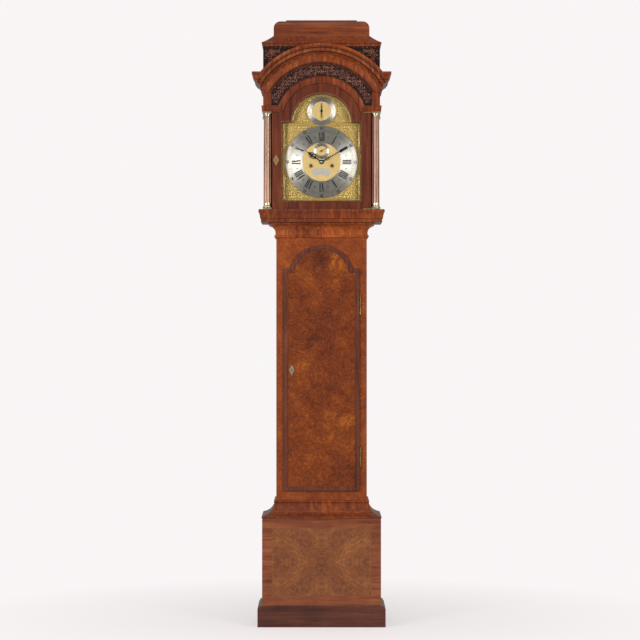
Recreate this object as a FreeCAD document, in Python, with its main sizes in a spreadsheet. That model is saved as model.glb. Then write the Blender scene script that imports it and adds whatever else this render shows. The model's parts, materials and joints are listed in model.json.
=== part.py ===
"""Longcase clock: a walnut case, a break-arch dial and an eight-day movement.

Frame: +Z up, the front faces -Y, the origin is on the floor at the middle of the bounding box.
"""
import FreeCAD, Part
import math
import os

import Sketcher
from FreeCAD import Placement, Rotation, Vector

doc = FreeCAD.newDocument("longcase_clock")
sheet = doc.addObject("Spreadsheet::Sheet", "dims")

# ---------------------------------------------------------------- driving dimensions, in mm
DIMENSIONS = {
    # case, from the floor up
    "case_back": 149, "board_thick": 14, "plinth_height": 81, "plinth_proj": 17.5,
    "base_half": 230, "base_front": 110, "base_top": 419, "base_mould_top": 474,
    "trunk_half": 176, "trunk_front": 56, "trunk_bead_top": 486, "frame_thick": 16,
    "throat_bottom": 1507, "throat_top": 1564.7, "cheek_top": 1690, "seat_thick": 20,
    # trunk door
    "door_half": 148, "door_bottom": 522, "door_shoulder": 1387, "door_lip": 13,
    "door_arch_radius": 126, "door_arch_centre": 1352, "trunk_door_play": 2,
    "trunk_hinge_offset": 151.5, "trunk_hinge_front": 60.5, "knuckle_radius": 3.5,
    # hood
    "hood_bottom": 1565, "hood_base_top": 1615, "hood_base_proj": 18.5, "hood_half": 202,
    "hood_front": 106, "hood_back": 134.5, "hood_wall": 12, "frieze_half": 226,
    "frieze_bottom": 1992, "hood_top": 2246, "arch_centre": 1947, "hood_door_half": 191.5,
    "hood_door_thick": 20, "hood_door_arch": 156, "mask_thick": 11.5, "hood_pivot_inset": 3,
    "architrave_height": 24, "architrave_radius": 157, "fret_inner_radius": 181,
    "fret_outer_radius": 231.5, "cornice_bottom": 2069, "cornice_height": 75,
    "cornice_radius": 232, "column_offset": 210, "column_radius": 13.4, "column_front": 97.5,
    "rear_column_offset": 216.5, "column_rear": 116, "cap_half": 17,
    # caddy top
    "flare_tip": 2261, "flare_top": 2290, "cushion_half": 186, "cushion_top": 2351,
    "cap_board_half": 138, "cap_board_top": 2356,
    # dial and hands
    "dial_centre": 1800, "dial_half": 152.4, "dial_arch_radius": 117, "dial_front": 72,
    "dial_thick": 3, "chapter_outer": 140, "chapter_inner": 74.5, "ring_thick": 1.5,
    "seconds_rise": 43, "seconds_outer": 31, "seconds_inner": 19, "strike_ring_rise": 51,
    "strike_ring_outer": 56, "strike_ring_inner": 37, "minute_hand_reach": 130,
    "hour_hand_reach": 74, "seconds_hand_reach": 29, "strike_hand_reach": 33,
    "hand_thick": 1.2, "minute_hand_angle": 60, "hour_hand_angle": -55,
    "seconds_hand_angle": 60,
    # movement
    "plate_half": 75, "plate_thick": 3, "plate_front": 33, "plate_back": 29.5,
    "plate_top": 1905, "barrel_offset": 41, "barrel_drop": 14.5, "barrel_radius": 24.8,
    "pallet_rise": 71, "pendulum_back": 57, "pendulum_length": 990, "bob_radius": 52,
    "weight_offset": 88, "weight_radius": 28, "weight_bottom": 150, "weight_height": 225,
    "pulley_rise": 262, "pulley_radius": 22, "gut_radius": 0.9,
}
for row, (alias, size) in enumerate(DIMENSIONS.items(), start=1):
    sheet.set(f"A{row}", alias.replace("_", " "))
    sheet.set(f"B{row}", str(size))
    sheet.setAlias(f"B{row}", alias)
probe = doc.addObject("Part::Vertex", "probe")
doc.recompute()

nodes = {}


# ---------------------------------------------------------------- shared helpers
def bound(text):
    """An expression in which each dimension's alias points to its cell."""
    words = str(text).replace("(", " ( ").replace(")", " ) ").split()
    spaced = " ".join("dims." + word if word in DIMENSIONS else word for word in words)
    return spaced.replace("sqrt (", "sqrt(")


def number(text):
    """The present value of an expression, read from a scratch vertex."""
    probe.setExpression("X", bound(text))
    probe.recompute()
    return probe.X.Value


def add_node(name, obj):
    """Keep an object as the sub-part that is exported under this name."""
    obj.Label = name
    nodes[name] = obj
    return obj


def move(obj, x="0", y="0", z="0"):
    """Bind an object's position to the sheet."""
    for axis, text in zip("xyz", (x, y, z)):
        obj.setExpression("Placement.Base." + axis, bound(text))
    return obj


def add_sketch(body, name, plane, offset="0"):
    """A sketch on one of the body's own origin planes, moved along its normal."""
    sketch = body.newObject("Sketcher::SketchObject", name)
    support = next(f for f in body.Origin.OriginFeatures if f.Role == plane)
    sketch.AttachmentSupport = [(support, "")]
    sketch.MapMode = "FlatFace"
    sketch.setExpression("AttachmentOffset.Base.z", bound(offset))
    return sketch


def end_at(sketch, edge, point):
    """Which end (1 or 2) of an edge lies at the point."""
    return min((1, 2), key=lambda end: sketch.getPoint(edge, end).distanceToPoint(point))


def draw_outline(sketch, corners):
    """A closed outline. A corner is (x, y), or (x, y, mid_x, mid_y) where an arc arrives."""
    points = [Vector(number(corner[0]), number(corner[1]), 0) for corner in corners]
    first = sketch.GeometryCount
    for i, corner in enumerate(corners):
        if len(corner) == 4:
            middle = Vector(number(corner[2]), number(corner[3]), 0)
            edge = Part.Arc(points[i - 1], middle, points[i])
        else:
            edge = Part.LineSegment(points[i - 1], points[i])
        sketch.addGeometry(edge, False)
    for i, corner in enumerate(corners):
        edge = first + i
        following = first + (i + 1) % len(corners)
        end = end_at(sketch, edge, points[i])
        start = end_at(sketch, following, points[i])
        sketch.addConstraint(Sketcher.Constraint("Coincident", edge, end, following, start))
        for kind, text, size in (("DistanceX", corner[0], points[i].x),
                                 ("DistanceY", corner[1], points[i].y)):
            index = sketch.addConstraint(Sketcher.Constraint(kind, -1, 1, edge, end, size))
            sketch.setExpression(f"Constraints[{index}]", bound(text))


def draw_circle(sketch, x, y, radius):
    """A circle whose centre and radius are bound to the sheet."""
    centre = Vector(number(x), number(y), 0)
    circle = Part.Circle(centre, Vector(0, 0, 1), number(radius))
    edge = sketch.addGeometry(circle, False)
    for kind, text, size in (("DistanceX", x, centre.x), ("DistanceY", y, centre.y)):
        index = sketch.addConstraint(Sketcher.Constraint(kind, -1, 1, edge, 3, size))
        sketch.setExpression(f"Constraints[{index}]", bound(text))
    index = sketch.addConstraint(Sketcher.Constraint("Radius", edge, number(radius)))
    sketch.setExpression(f"Constraints[{index}]", bound(radius))


def board(name, plane, outlines, circles, offset, thickness):
    """A body padded from a sketch: outlines, then circular holes, from offset along the normal."""
    body = doc.addObject("PartDesign::Body", name)
    sketch = add_sketch(body, name + "_sketch", plane, offset)
    for outline in outlines:
        draw_outline(sketch, outline)
    for x, y, radius in circles:
        draw_circle(sketch, x, y, radius)
    pad = body.newObject("PartDesign::Pad", name + "_pad")
    pad.Profile = sketch
    pad.setExpression("Length", bound(thickness))
    return body


def front_board(name, outlines, circles, rear, thickness):
    """A board that faces the front: its rear face is at y = -rear, its outline is in x and z."""
    return board(name, "XZ_Plane", outlines, circles, rear, thickness)


def turned(name, profile, axis="Z"):
    """A body turned about its own Z or Y axis from a profile of (radius, height) corners."""
    body = doc.addObject("PartDesign::Body", name)
    sketch = add_sketch(body, name + "_profile", "XZ_Plane")
    draw_outline(sketch, profile)
    spin = body.newObject("PartDesign::Revolution", name + "_turning")
    spin.Profile = sketch
    spin.ReferenceAxis = (sketch, ["V_Axis"])
    if axis == "Y":
        body.Placement.Rotation = Rotation(Vector(1, 0, 0), -90)
    return body


def box(name, size, low):
    """A Part box with its three sizes and its lowest corner bound to the sheet."""
    block = doc.addObject("Part::Box", name)
    for side, text in zip(("Length", "Width", "Height"), size):
        block.setExpression(side, bound(text))
    return move(block, *low)


def cylinder(name, radius, length, low, axis="Z"):
    """A Part cylinder that starts at low and runs along +Z or +Y."""
    rod = doc.addObject("Part::Cylinder", name)
    rod.setExpression("Radius", bound(radius))
    rod.setExpression("Height", bound(length))
    if axis == "Y":
        rod.Placement.Rotation = Rotation(Vector(1, 0, 0), -90)
    return move(rod, *low)


def combine(kind, name, base, tool):
    """A Part::Cut or Part::Common of two objects."""
    result = doc.addObject("Part::" + kind, name)
    result.Base = base
    result.Tool = tool
    return result


def fuse(name, shapes):
    """One solid made of several objects that touch."""
    result = doc.addObject("Part::MultiFuse", name)
    result.Shapes = shapes
    return result


def group(name, shapes):
    """Separate solids that share one node."""
    result = doc.addObject("Part::Compound", name)
    result.Links = shapes
    return add_node(name, result)


def mirrored(source):
    """The same object on the other side of the clock."""
    copy = doc.addObject("Part::Mirroring", source.Name + "_mirrored")
    copy.Source = source
    copy.Normal = Vector(1, 0, 0)
    return copy


def rectangle(low_x, low_y, high_x, high_y):
    """Corners of a rectangle, counter-clockwise."""
    return [(low_x, low_y), (high_x, low_y), (high_x, high_y), (low_x, high_y)]


def arched(half, bottom, shoulder, radius, centre):
    """A break-arch outline: a rectangle with an arch that stands on its shoulders."""
    chord = f"sqrt ( {radius} * {radius} - ( {shoulder} - {centre} ) * ( {shoulder} - {centre} ) )"
    return [(f"0 - {half}", bottom), (half, bottom), (half, shoulder), (chord, shoulder),
            (f"0 - {chord}", shoulder, "0", f"{centre} + {radius}"), (f"0 - {half}", shoulder)]


def moulded_block(name, half, front, back, profile):
    """A block whose front and two sides carry one moulding, mitred at the corners.

    profile lists (projection, height) or (projection, height, mid_projection, mid_height),
    from the bottom up. half and front say where the projection is nought.
    """
    bottom, top = profile[0][1], profile[-1][1]

    def side_of(start, point):
        """The point, and any arc's middle, measured outwards from a start such as '0 - half'."""
        pairs = zip(point[::2], point[1::2])
        return [text for reach, height in pairs for text in (f"{start} ( {reach} )", height)]

    facing = [side_of(f"0 - {front} -", point) for point in profile]
    lengthways = board(name + "_front_run", "YZ_Plane",
                       [facing + [(back, top), (back, bottom)]], [],
                       f"0 - {half} - 60", f"2 * {half} + 120")
    right = [side_of(f"{half} +", point) for point in profile]
    left = []
    for point, above in zip(reversed(profile), [()] + profile[:0:-1]):
        left.append(side_of(f"0 - {half} -", (*point[:2], *above[2:])))
    sideways = board(name + "_side_run", "XZ_Plane", [right + left], [],
                     f"0 - {back}", f"{back} + {front} + 60")
    return combine("Common", name + "_block", lengthways, sideways)


def wrapped_moulding(name, half, front, back, profile, core):
    """A moulded block with its core (half width, front, back) cut out, open at the back."""
    block = moulded_block(name, half, front, back, profile)
    core_half, core_front, core_back = core
    hollow = box(name + "_core", (f"2 * {core_half}", f"{core_front} + {core_back}", "3000"),
                 (f"0 - {core_half}", f"0 - {core_front}", "0"))
    return combine("Cut", name, block, hollow)


# ---------------------------------------------------------------- the lower case
def build_base():
    """Carcase of the base, its skirting, its moulding and the full-height backboard."""
    front = rectangle("0 - base_half", "0", "base_half", "base_top")
    add_node("base_front_panel",
             front_board("front_panel", [front], [], "base_front - frame_thick", "frame_thick"))
    side = box("base_side", ("board_thick", "base_front - frame_thick + case_back - board_thick",
                             "base_top"),
               ("base_half - board_thick", "frame_thick - base_front", "0"))
    group("base_side_panels", [side, mirrored(side)])

    skirting = [("0", "0"), ("plinth_proj", "0"), ("plinth_proj", "plinth_height - 10"),
                ("plinth_proj - 3", "plinth_height - 8"),
                ("6", "plinth_height", "plinth_proj - 6", "plinth_height - 1.5"),
                ("0", "plinth_height")]
    core = ("base_half", "base_front", "case_back + 10")
    add_node("plinth_skirting", wrapped_moulding("skirting", "base_half", "base_front",
                                                 "case_back", skirting, core))

    rise = "base_half - trunk_half"
    cove = [("0", "base_top"), (rise, "base_top"),
            (f"{rise}", "base_top + 7", f"{rise} + 2.5", "base_top + 3.5"),
            (f"{rise} - 7", "base_top + 9"),
            ("9", "base_mould_top", "21", "base_top + 25"),
            ("7", "base_mould_top + 1"),
            ("4", "trunk_bead_top", "9.5", "base_mould_top + 7"), ("0", "trunk_bead_top")]
    core = ("trunk_half", "trunk_front", "case_back + 10")
    add_node("base_moulding", wrapped_moulding("cove", "trunk_half", "trunk_front",
                                               "case_back", cove, core))

    halves = [("base_half", "0"), ("base_half", "base_top"), ("trunk_half", "base_top"),
              ("trunk_half", "hood_bottom"), ("hood_half", "hood_bottom"),
              ("hood_half", "hood_top")]
    outline = halves + [(f"0 - {x}", z) for x, z in reversed(halves)]
    add_node("backboard", front_board("back_board", [outline], [],
                                      "0 - case_back", "board_thick"))


def build_trunk():
    """Trunk sides that rise into the hood, the front frame, the throat and the seatboard."""
    side = box("trunk_side", ("board_thick", "trunk_front - frame_thick + case_back - board_thick",
                              "cheek_top - base_top"),
               ("trunk_half - board_thick", "frame_thick - trunk_front", "base_top"))
    group("trunk_sides", [side, mirrored(side)])

    play = "( door_lip - trunk_door_play )"
    frame = rectangle("0 - trunk_half", "base_top", "trunk_half", "throat_top - 4")
    opening = arched(f"( door_half - {play} )", f"door_bottom + {play}",
                     f"( door_shoulder - {play} )", f"( door_arch_radius - {play} )",
                     "door_arch_centre")
    add_node("trunk_front_frame",
             front_board("front_frame", [frame, opening], [],
                         "trunk_front - frame_thick", "frame_thick"))

    throat = [("0", "throat_bottom"), ("4", "throat_bottom"),
              ("4", "throat_bottom + 10", "8", "throat_bottom + 5"),
              ("3", "throat_bottom + 16"),
              ("29", "throat_top - 6", "10", "throat_bottom + 38"),
              ("31", "throat_top - 6"), ("31", "throat_top - 1"), ("29", "throat_top"),
              ("0", "throat_top")]
    core = ("trunk_half", "trunk_front", "case_back + 10")
    add_node("throat_moulding", wrapped_moulding("throat", "trunk_half", "trunk_front",
                                                 "case_back", throat, core))

    lines = [(sign + x, "0", "5") for sign in ("0 - ", "0 + ")
             for x in ("( barrel_offset + barrel_radius )", "( weight_offset + pulley_radius )")]
    seat = board("seat_board", "XY_Plane",
                 [rectangle("0 - trunk_half", "-46", "trunk_half", "40")], lines,
                 "cheek_top", "seat_thick")
    add_node("seatboard", seat)


def hinge_heights():
    """Bottom of each of the trunk door's two hinges, and one knuckle's height."""
    return (616, 1208), 26


def build_trunk_hinges():
    """Two brass butt hinges: outer knuckles and pin on the case, middle knuckle on the door."""
    case_parts, door_parts = [], []
    bottoms, knuckle = hinge_heights()
    for i, bottom in enumerate(bottoms):
        centre = ("trunk_hinge_offset", "0 - trunk_hinge_front")
        pieces = []
        for j, rise in enumerate((0, 2 * knuckle)):
            height = bottom + rise
            pieces.append(cylinder(f"case_knuckle_{i}{j}", "knuckle_radius", knuckle - 0.3,
                                   (*centre, height)))
            pieces.append(box(f"case_leaf_{i}{j}",
                              ("4", "trunk_hinge_front - trunk_front", knuckle - 0.3),
                              ("trunk_hinge_offset", "0 - trunk_hinge_front", height)))
        pieces.append(cylinder(f"hinge_pin_{i}", "1.5", 3 * knuckle, (*centre, bottom)))
        case_parts.append(fuse(f"case_hinge_{i}", pieces))

        barrel = cylinder(f"door_knuckle_{i}", "knuckle_radius", knuckle - 0.6,
                          (*centre, bottom + knuckle + 0.15))
        bore = cylinder(f"door_knuckle_bore_{i}", "1.55", knuckle + 2,
                        (*centre, bottom + knuckle - 1))
        leaf = box(f"door_leaf_{i}", ("1.2", "9", knuckle - 0.6),
                   ("door_half", "-66", bottom + knuckle + 0.15))
        joined = fuse(f"door_hinge_solid_{i}", [barrel, leaf])
        door_parts.append(combine("Cut", f"door_hinge_{i}", joined, bore))
    group("trunk_hinge_case_leaves", case_parts)
    group("trunk_hinge_door_leaves", door_parts)


def diamond(x, z, half_width, half_height):
    """Corners of a lozenge."""
    return [(f"{x} + {half_width}", z), (x, f"{z} + {half_height}"),
            (f"{x} - {half_width}", z), (x, f"{z} - {half_height}")]


def build_trunk_door():
    """A lipped door with an applied edge moulding, a lock and a lozenge escutcheon."""
    def door_outline(inset):
        return arched(f"( door_half - {inset} )", f"door_bottom + {inset}",
                      f"( door_shoulder - {inset} )", f"( door_arch_radius - {inset} )",
                      "door_arch_centre")

    keyhole = ("-116", "992", "2.2")
    core = front_board("door_core", [door_outline("door_lip")], [keyhole], "40", "16.3")
    lip = front_board("door_lip_layer", [door_outline("0")], [keyhole],
                      "trunk_front + 0.3", "5.7")
    add_node("trunk_door_board", fuse("trunk_door_solid", [core, lip]))

    outer = front_board("door_edge", [door_outline("0"), door_outline("17")], [], "62", "2.5")
    bead = front_board("door_bead", [door_outline("2.5"), door_outline("12")], [],
                       "64.5", "2")
    add_node("trunk_door_moulding", fuse("door_moulding_solid", [outer, bead]))

    plate = front_board("escutcheon_plate", [diamond("-116", "992", "10", "21.5")],
                        [keyhole], "62", "1.5")
    case = box("lock_case", ("50", "9", "70"), ("-129", "-40", "957"))
    group("trunk_door_lock", [plate, case])


# ---------------------------------------------------------------- the hood
def hood_opening(radius_extra):
    """The break-arch opening over the dial, grown by radius_extra."""
    return arched(f"( dial_half - 1.4 + {radius_extra} )", f"1648 - {radius_extra}",
                  f"( 1952 + {radius_extra} )",
                  f"( dial_arch_radius - 1 + {radius_extra} )", "arch_centre")


def build_hood_body():
    """Base frame, sides with glazed windows, the mask round the dial and the frieze."""
    low, high = "hood_bottom", "hood_base_top"
    profile = [("0", low), ("8.5", low), ("8.5", f"{low} + 9"),
               ("11.5", f"{low} + 15", "8.5", f"{low} + 13"),
               ("hood_base_proj - 4", f"{low} + 32", "hood_base_proj - 6", f"{low} + 23"),
               ("hood_base_proj - 2", f"{high} - 13"),
               ("hood_base_proj - 3", high, "hood_base_proj", f"{high} - 7"), ("0", high)]
    core = ("( trunk_half + 2 )", "( trunk_front + 2 )", "case_back")
    moulding = wrapped_moulding("hood_base", "frieze_half", "hood_front", "hood_back",
                                profile, core)
    pin_spot = ("hood_door_half - hood_pivot_inset", "hood_pivot_inset - hood_front")
    socket = cylinder("base_pivot_bore", "1.55", "9", (*pin_spot, "hood_base_top - 8"))
    add_node("hood_base_frame", combine("Cut", "hood_base_bored", moulding, socket))

    front = "hood_front - hood_door_thick - mask_thick"
    side_height = "hood_top - hood_wall - hood_base_top"
    wall = box("hood_wall_board", ("hood_wall", f"{front} + hood_back", side_height),
               ("hood_half - hood_wall", f"0 - ( {front} )", "hood_base_top"))
    window = rectangle("-45", "1690", "95", "1950")
    hole = board("window_hole", "YZ_Plane", [window], [], "hood_half - 30", "60")
    side = combine("Cut", "hood_side", wall, hole)
    group("hood_sides", [side, mirrored(side)])
    pane = board("side_pane", "YZ_Plane", [window], [], "hood_half - hood_wall + 4.5", "3")
    group("hood_side_windows", [pane, mirrored(pane)])

    rear = "hood_front - hood_door_thick - mask_thick"
    mask = rectangle("0 - hood_half", "hood_base_top", "hood_half", "hood_top - hood_wall")
    add_node("hood_mask_board", front_board("mask_board", [mask, hood_opening("0")], [],
                                            rear, "mask_thick - 0.3"))

    radius = "architrave_radius"
    chord = f"sqrt ( {radius} * {radius} - ( frieze_bottom - arch_centre ) * " \
            "( frieze_bottom - arch_centre ) )"
    outline = rectangle("0 - frieze_half", "frieze_bottom", "frieze_half", "hood_top")
    outline = [("0 - frieze_half", "frieze_bottom"), (f"0 - {chord}", "frieze_bottom"),
               (chord, "frieze_bottom", "0", f"arch_centre + {radius}"),
               *outline[1:]]
    frieze_front = front_board("frieze_front", [outline], [],
                               "hood_front - hood_door_thick", "hood_door_thick")
    side_block = box("frieze_side", ("frieze_half - hood_half",
                                     "hood_front - hood_door_thick + hood_back",
                                     "hood_top - frieze_bottom"),
                     ("hood_half", "hood_door_thick - hood_front", "frieze_bottom"))
    roof = box("roof", ("2 * hood_half", f"{front} + hood_back", "hood_wall"),
               ("0 - hood_half", f"0 - ( {front} )", "hood_top - hood_wall"))
    joined = fuse("frieze_joined", [frieze_front, side_block, mirrored(side_block), roof])
    bore = cylinder("frieze_pivot_bore", "1.55", "9",
                    (*pin_spot, "frieze_bottom - 1"))
    add_node("hood_frieze_and_roof", combine("Cut", "frieze_bored", joined, bore))


def mitre_region(name, radius, bottom, height, glue):
    """The wedge between the two mitres where an arched moulding meets its level returns.

    glue widens the wedge on each side, by half the glue line's width.
    """
    def chord(rise):
        drop = f"( {bottom} + {rise} - arch_centre )"
        return f"sqrt ( ( {radius} + {rise} ) * ( {radius} + {rise} ) - {drop} * {drop} )"

    lower, upper = chord("0"), chord(height)
    slope = f"( ( {upper} - {lower} ) / {height} )"
    foot = f"( {lower} - {slope} * ( {bottom} - arch_centre ) + {glue} )"
    head = f"( {upper} + {slope} * 200 + {glue} )"
    corners = [(foot, "arch_centre"), (head, f"{bottom} + {height} + 200"),
               (f"0 - {head}", f"{bottom} + {height} + 200"), (f"0 - {foot}", "arch_centre")]
    return front_board(name, [corners], [], "hood_front", "60")


def arched_moulding(name, radius, bottom, height, profile):
    """A moulding that runs level along the sides and corners and arches over the dial.

    profile lists (projection, rise) points, with arcs as in moulded_block, from the bottom up.
    """
    level = [tuple(f"{bottom} + {text}" if i % 2 else text for i, text in enumerate(point))
             for point in profile]
    core = ("frieze_half", "hood_front", "case_back")
    returns = wrapped_moulding(name + "_level", "frieze_half", "hood_front", "hood_back",
                               level, core)
    wedge = mitre_region(name + "_wedge", radius, bottom, height, "0.1")
    returns = combine("Cut", name + "_returns", returns, wedge)

    ring = doc.addObject("PartDesign::Body", name + "_ring")
    sketch = add_sketch(ring, name + "_ring_profile", "YZ_Plane")
    section = [tuple(f"{radius} + {text}" if i % 2 else f"0 - hood_front - ( {text} )"
                     for i, text in enumerate(point)) for point in profile]
    draw_outline(sketch, section)
    spin = ring.newObject("PartDesign::Revolution", name + "_ring_turning")
    spin.Profile = sketch
    spin.ReferenceAxis = (sketch, ["H_Axis"])
    move(ring, z="arch_centre")
    narrower = mitre_region(name + "_narrow_wedge", radius, bottom, height, "0")
    arch = combine("Common", name + "_arch", ring, narrower)
    return group("hood_" + name, [returns, arch])


def build_entablature():
    """Architrave, pierced frieze frets and cornice."""
    architrave = [("0", "0"), ("4", "0"), ("4", "7"), ("5.5", "8"), ("5.5", "14"),
                  ("7", "22", "5.5", "19"), ("7", "architrave_height"),
                  ("0", "architrave_height")]
    arched_moulding("architrave", "architrave_radius", "frieze_bottom", "architrave_height",
                    architrave)
    cornice = [("0", "0"), ("6", "0"), ("6", "5"), ("10", "8", "7", "7"),
               ("27", "38", "14", "26"), ("29", "38"), ("29", "43"),
               ("36", "55", "35", "47"), ("41", "66", "37", "62"), ("43", "66"),
               ("43", "cornice_height"), ("0", "cornice_height")]
    arched_moulding("cornice", "cornice_radius", "cornice_bottom", "cornice_height", cornice)

    level = "( frieze_bottom + architrave_height + 1 - arch_centre )"
    inner = f"sqrt ( fret_inner_radius * fret_inner_radius - {level} * {level} )"
    edge = "( cornice_bottom - 2 - arch_centre )"
    outer = f"sqrt ( fret_outer_radius * fret_outer_radius - {edge} * {edge} )"
    base = "frieze_bottom + architrave_height + 1"
    band = [(f"0 - {outer}", base), (f"0 - {inner}", base),
            (inner, base, "0", "arch_centre + fret_inner_radius"), (outer, base),
            (outer, "cornice_bottom - 2"),
            (f"0 - {outer}", "cornice_bottom - 2", "0", "arch_centre + fret_outer_radius")]
    frieze = front_board("frieze_fret_band", [band], [], "hood_front", "2")

    reach = "( cornice_radius + cornice_height + 1 )"
    rise = "( hood_top - 2 - arch_centre )"
    meet = f"sqrt ( {reach} * {reach} - {rise} * {rise} )"
    side = "( frieze_half - 2 )"
    climb = f"sqrt ( {reach} * {reach} - {side} * {side} )"
    across, up = math.sin(math.radians(30.66)), math.cos(math.radians(30.66))
    spandrel = [(side, f"arch_centre + {climb}", f"{reach} * {across:.6f}",
                 f"arch_centre + {reach} * {up:.6f}"),
                (side, "hood_top - 2"), (meet, "hood_top - 2")]
    spandrel = front_board("spandrel_fret", [spandrel], [], "hood_front", "2")
    group("hood_frets", [frieze, spandrel, mirrored(spandrel)])


def build_columns():
    """Four slender columns with turned brass bases and capitals, cut round the hood's corners."""
    shafts, mounts = [], []
    spots = [(f"{sign} {offset}", y) for sign in ("0 +", "0 -")
             for offset, y in (("column_offset", "0 - column_front"),
                               ("rear_column_offset", "column_rear"))]
    shaft = [("0", "1639"), ("column_radius", "1639"),
             ("column_radius - 1", "1978", "column_radius - 0.2", "1800"), ("0", "1978")]
    foot = [("0", "1621"), ("16", "1621"), ("16", "1626", "18", "1623.5"), ("15", "1629"),
            ("14.5", "1634", "13.5", "1631"), ("14.5", "1639"), ("0", "1639")]
    head = [("0", "1978"), ("13.5", "1978"), ("13.5", "1980.5"), ("14.5", "1981.5"),
            ("16.5", "1987", "16.5", "1983.5"), ("0", "1987")]
    door_room = "( hood_door_half + 1.9 )"
    wall_room = "( hood_half + 0.3 )"
    low, high = "hood_base_top - 1", "frieze_bottom - hood_base_top + 2"
    for i, (x, y) in enumerate(spots):
        shafts.append(move(turned(f"column_shaft_{i}", shaft), x, y))
        corner = (f"{x} - cap_half", f"{y} - cap_half")
        square = ("2 * cap_half", "2 * cap_half")
        plinth = box(f"column_plinth_{i}", (*square, "6"), (*corner, "hood_base_top"))
        abacus = box(f"column_abacus_{i}", (*square, "frieze_bottom - 1987"),
                     (*corner, "1987"))
        base = move(turned(f"column_foot_{i}", foot), x, y)
        capital = move(turned(f"column_head_{i}", head), x, y)
        for part, shapes in (("base", [plinth, base]), ("capital", [abacus, capital])):
            name = f"column_{part}_{i}"
            beside_door = box(name + "_door_room", (f"2 * {door_room}", "300", high),
                              (f"0 - {door_room}", "-150", low))
            beside_wall = box(name + "_wall_room", (f"2 * {wall_room}", "300", high),
                              (f"0 - {wall_room}", "-86", low))
            room = fuse(name + "_room", [beside_door, beside_wall])
            mounts.append(combine("Cut", name, fuse(name + "_solid", shapes), room))
    group("hood_columns", shafts)
    group("column_mounts", mounts)


def build_caddy():
    """The stepped top: a flared tier and a cushion that carries a thin cap board."""
    flare = [("0", "hood_top"), ("2", "hood_top"), ("6", "flare_tip - 3", "2.5", "flare_tip - 8"),
             ("6", "flare_tip"), ("3", "flare_tip + 1"),
             ("-39", "flare_top", "-19.5", "flare_top - 15"), ("-60", "flare_top")]
    block = moulded_block("flare", "frieze_half", "hood_front", "hood_back", flare)
    hollow = box("flare_hollow", ("340", "170", "34"), ("-170", "-50", "hood_top - 1"))
    crown = cylinder("cornice_crown_room", "cornice_radius + cornice_height + 0.5", "60",
                     ("0", "0 - hood_front - 60", "arch_centre"), "Y")
    add_node("caddy_flare", combine("Cut", "flare_shell", block,
                                    fuse("flare_room", [hollow, crown])))

    cushion = [("0", "flare_top"), ("0", "cushion_top - 30"),
               ("-30", "cushion_top", "-8.8", "cushion_top - 8.8"), ("-60", "cushion_top")]
    dome = moulded_block("cushion", "cushion_half", "( hood_front - 40 )", "hood_back",
                         cushion)
    cap = box("cap_board", ("2 * cap_board_half", "150", "cap_board_top - cushion_top - 0.1"),
              ("0 - cap_board_half", "-30", "cushion_top + 0.1"))
    group("caddy_cushion_and_cap", [dome, cap])


def build_hood_door():
    """The glazed door: frame, glass, pivot plates with pins and a lozenge escutcheon."""
    keyhole = ("-176", "1805", "2.2")
    radius = "hood_door_arch"
    top = "frieze_bottom - 0.6"
    chord = f"sqrt ( {radius} * {radius} - ( {top} - arch_centre ) * ( {top} - arch_centre ) )"
    outline = [("0 - hood_door_half", "hood_base_top + 0.6"),
               ("hood_door_half", "hood_base_top + 0.6"), ("hood_door_half", top),
               (chord, top), (f"0 - {chord}", top, "0", f"arch_centre + {radius}"),
               ("0 - hood_door_half", top)]
    rear = "hood_front - hood_door_thick + 0.3"
    frame = front_board("glazed_frame", [outline, hood_opening("0")], [keyhole], rear,
                        "hood_door_thick - 0.3")
    pin_x, pin_y = "hood_door_half - hood_pivot_inset", "hood_pivot_inset - hood_front"
    lets, pivots = [], []
    for name, z, pin_z in (("lower", "hood_base_top + 0.6", "hood_base_top - 6.4"),
                           ("upper", "frieze_bottom - 3.1", "frieze_bottom - 0.6")):
        size = ("30", "9", "2.5")
        low = ("hood_door_half - 30", "0 - hood_front", z)
        lets.append(box(f"pivot_recess_{name}", size, low))
        plate = box(f"pivot_plate_{name}", size, low)
        pin = cylinder(f"pivot_pin_{name}", "1.5", "7", (pin_x, pin_y, pin_z))
        pivots.append(fuse(f"pivot_{name}", [plate, pin]))
    recesses = fuse("pivot_recesses", lets)
    add_node("hood_door_frame", combine("Cut", "let_in_frame", frame, recesses))
    add_node("hood_door_glass", front_board("door_pane", [hood_opening("0")], [],
                                            "96", "3"))
    plate = front_board("hood_escutcheon", [diamond("-176", "1805", "11.5", "22.5")],
                        [keyhole], "hood_front", "1.5")
    group("hood_door_brasses", pivots + [plate])


# ---------------------------------------------------------------- the dial and its hands
def ring(name, centre_z, outer, inner, rear, thickness):
    """A flat ring that faces the front, centred on the clock's middle line."""
    return front_board(name, [], [("0", centre_z, outer), ("0", centre_z, inner)],
                       rear, thickness)


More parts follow.
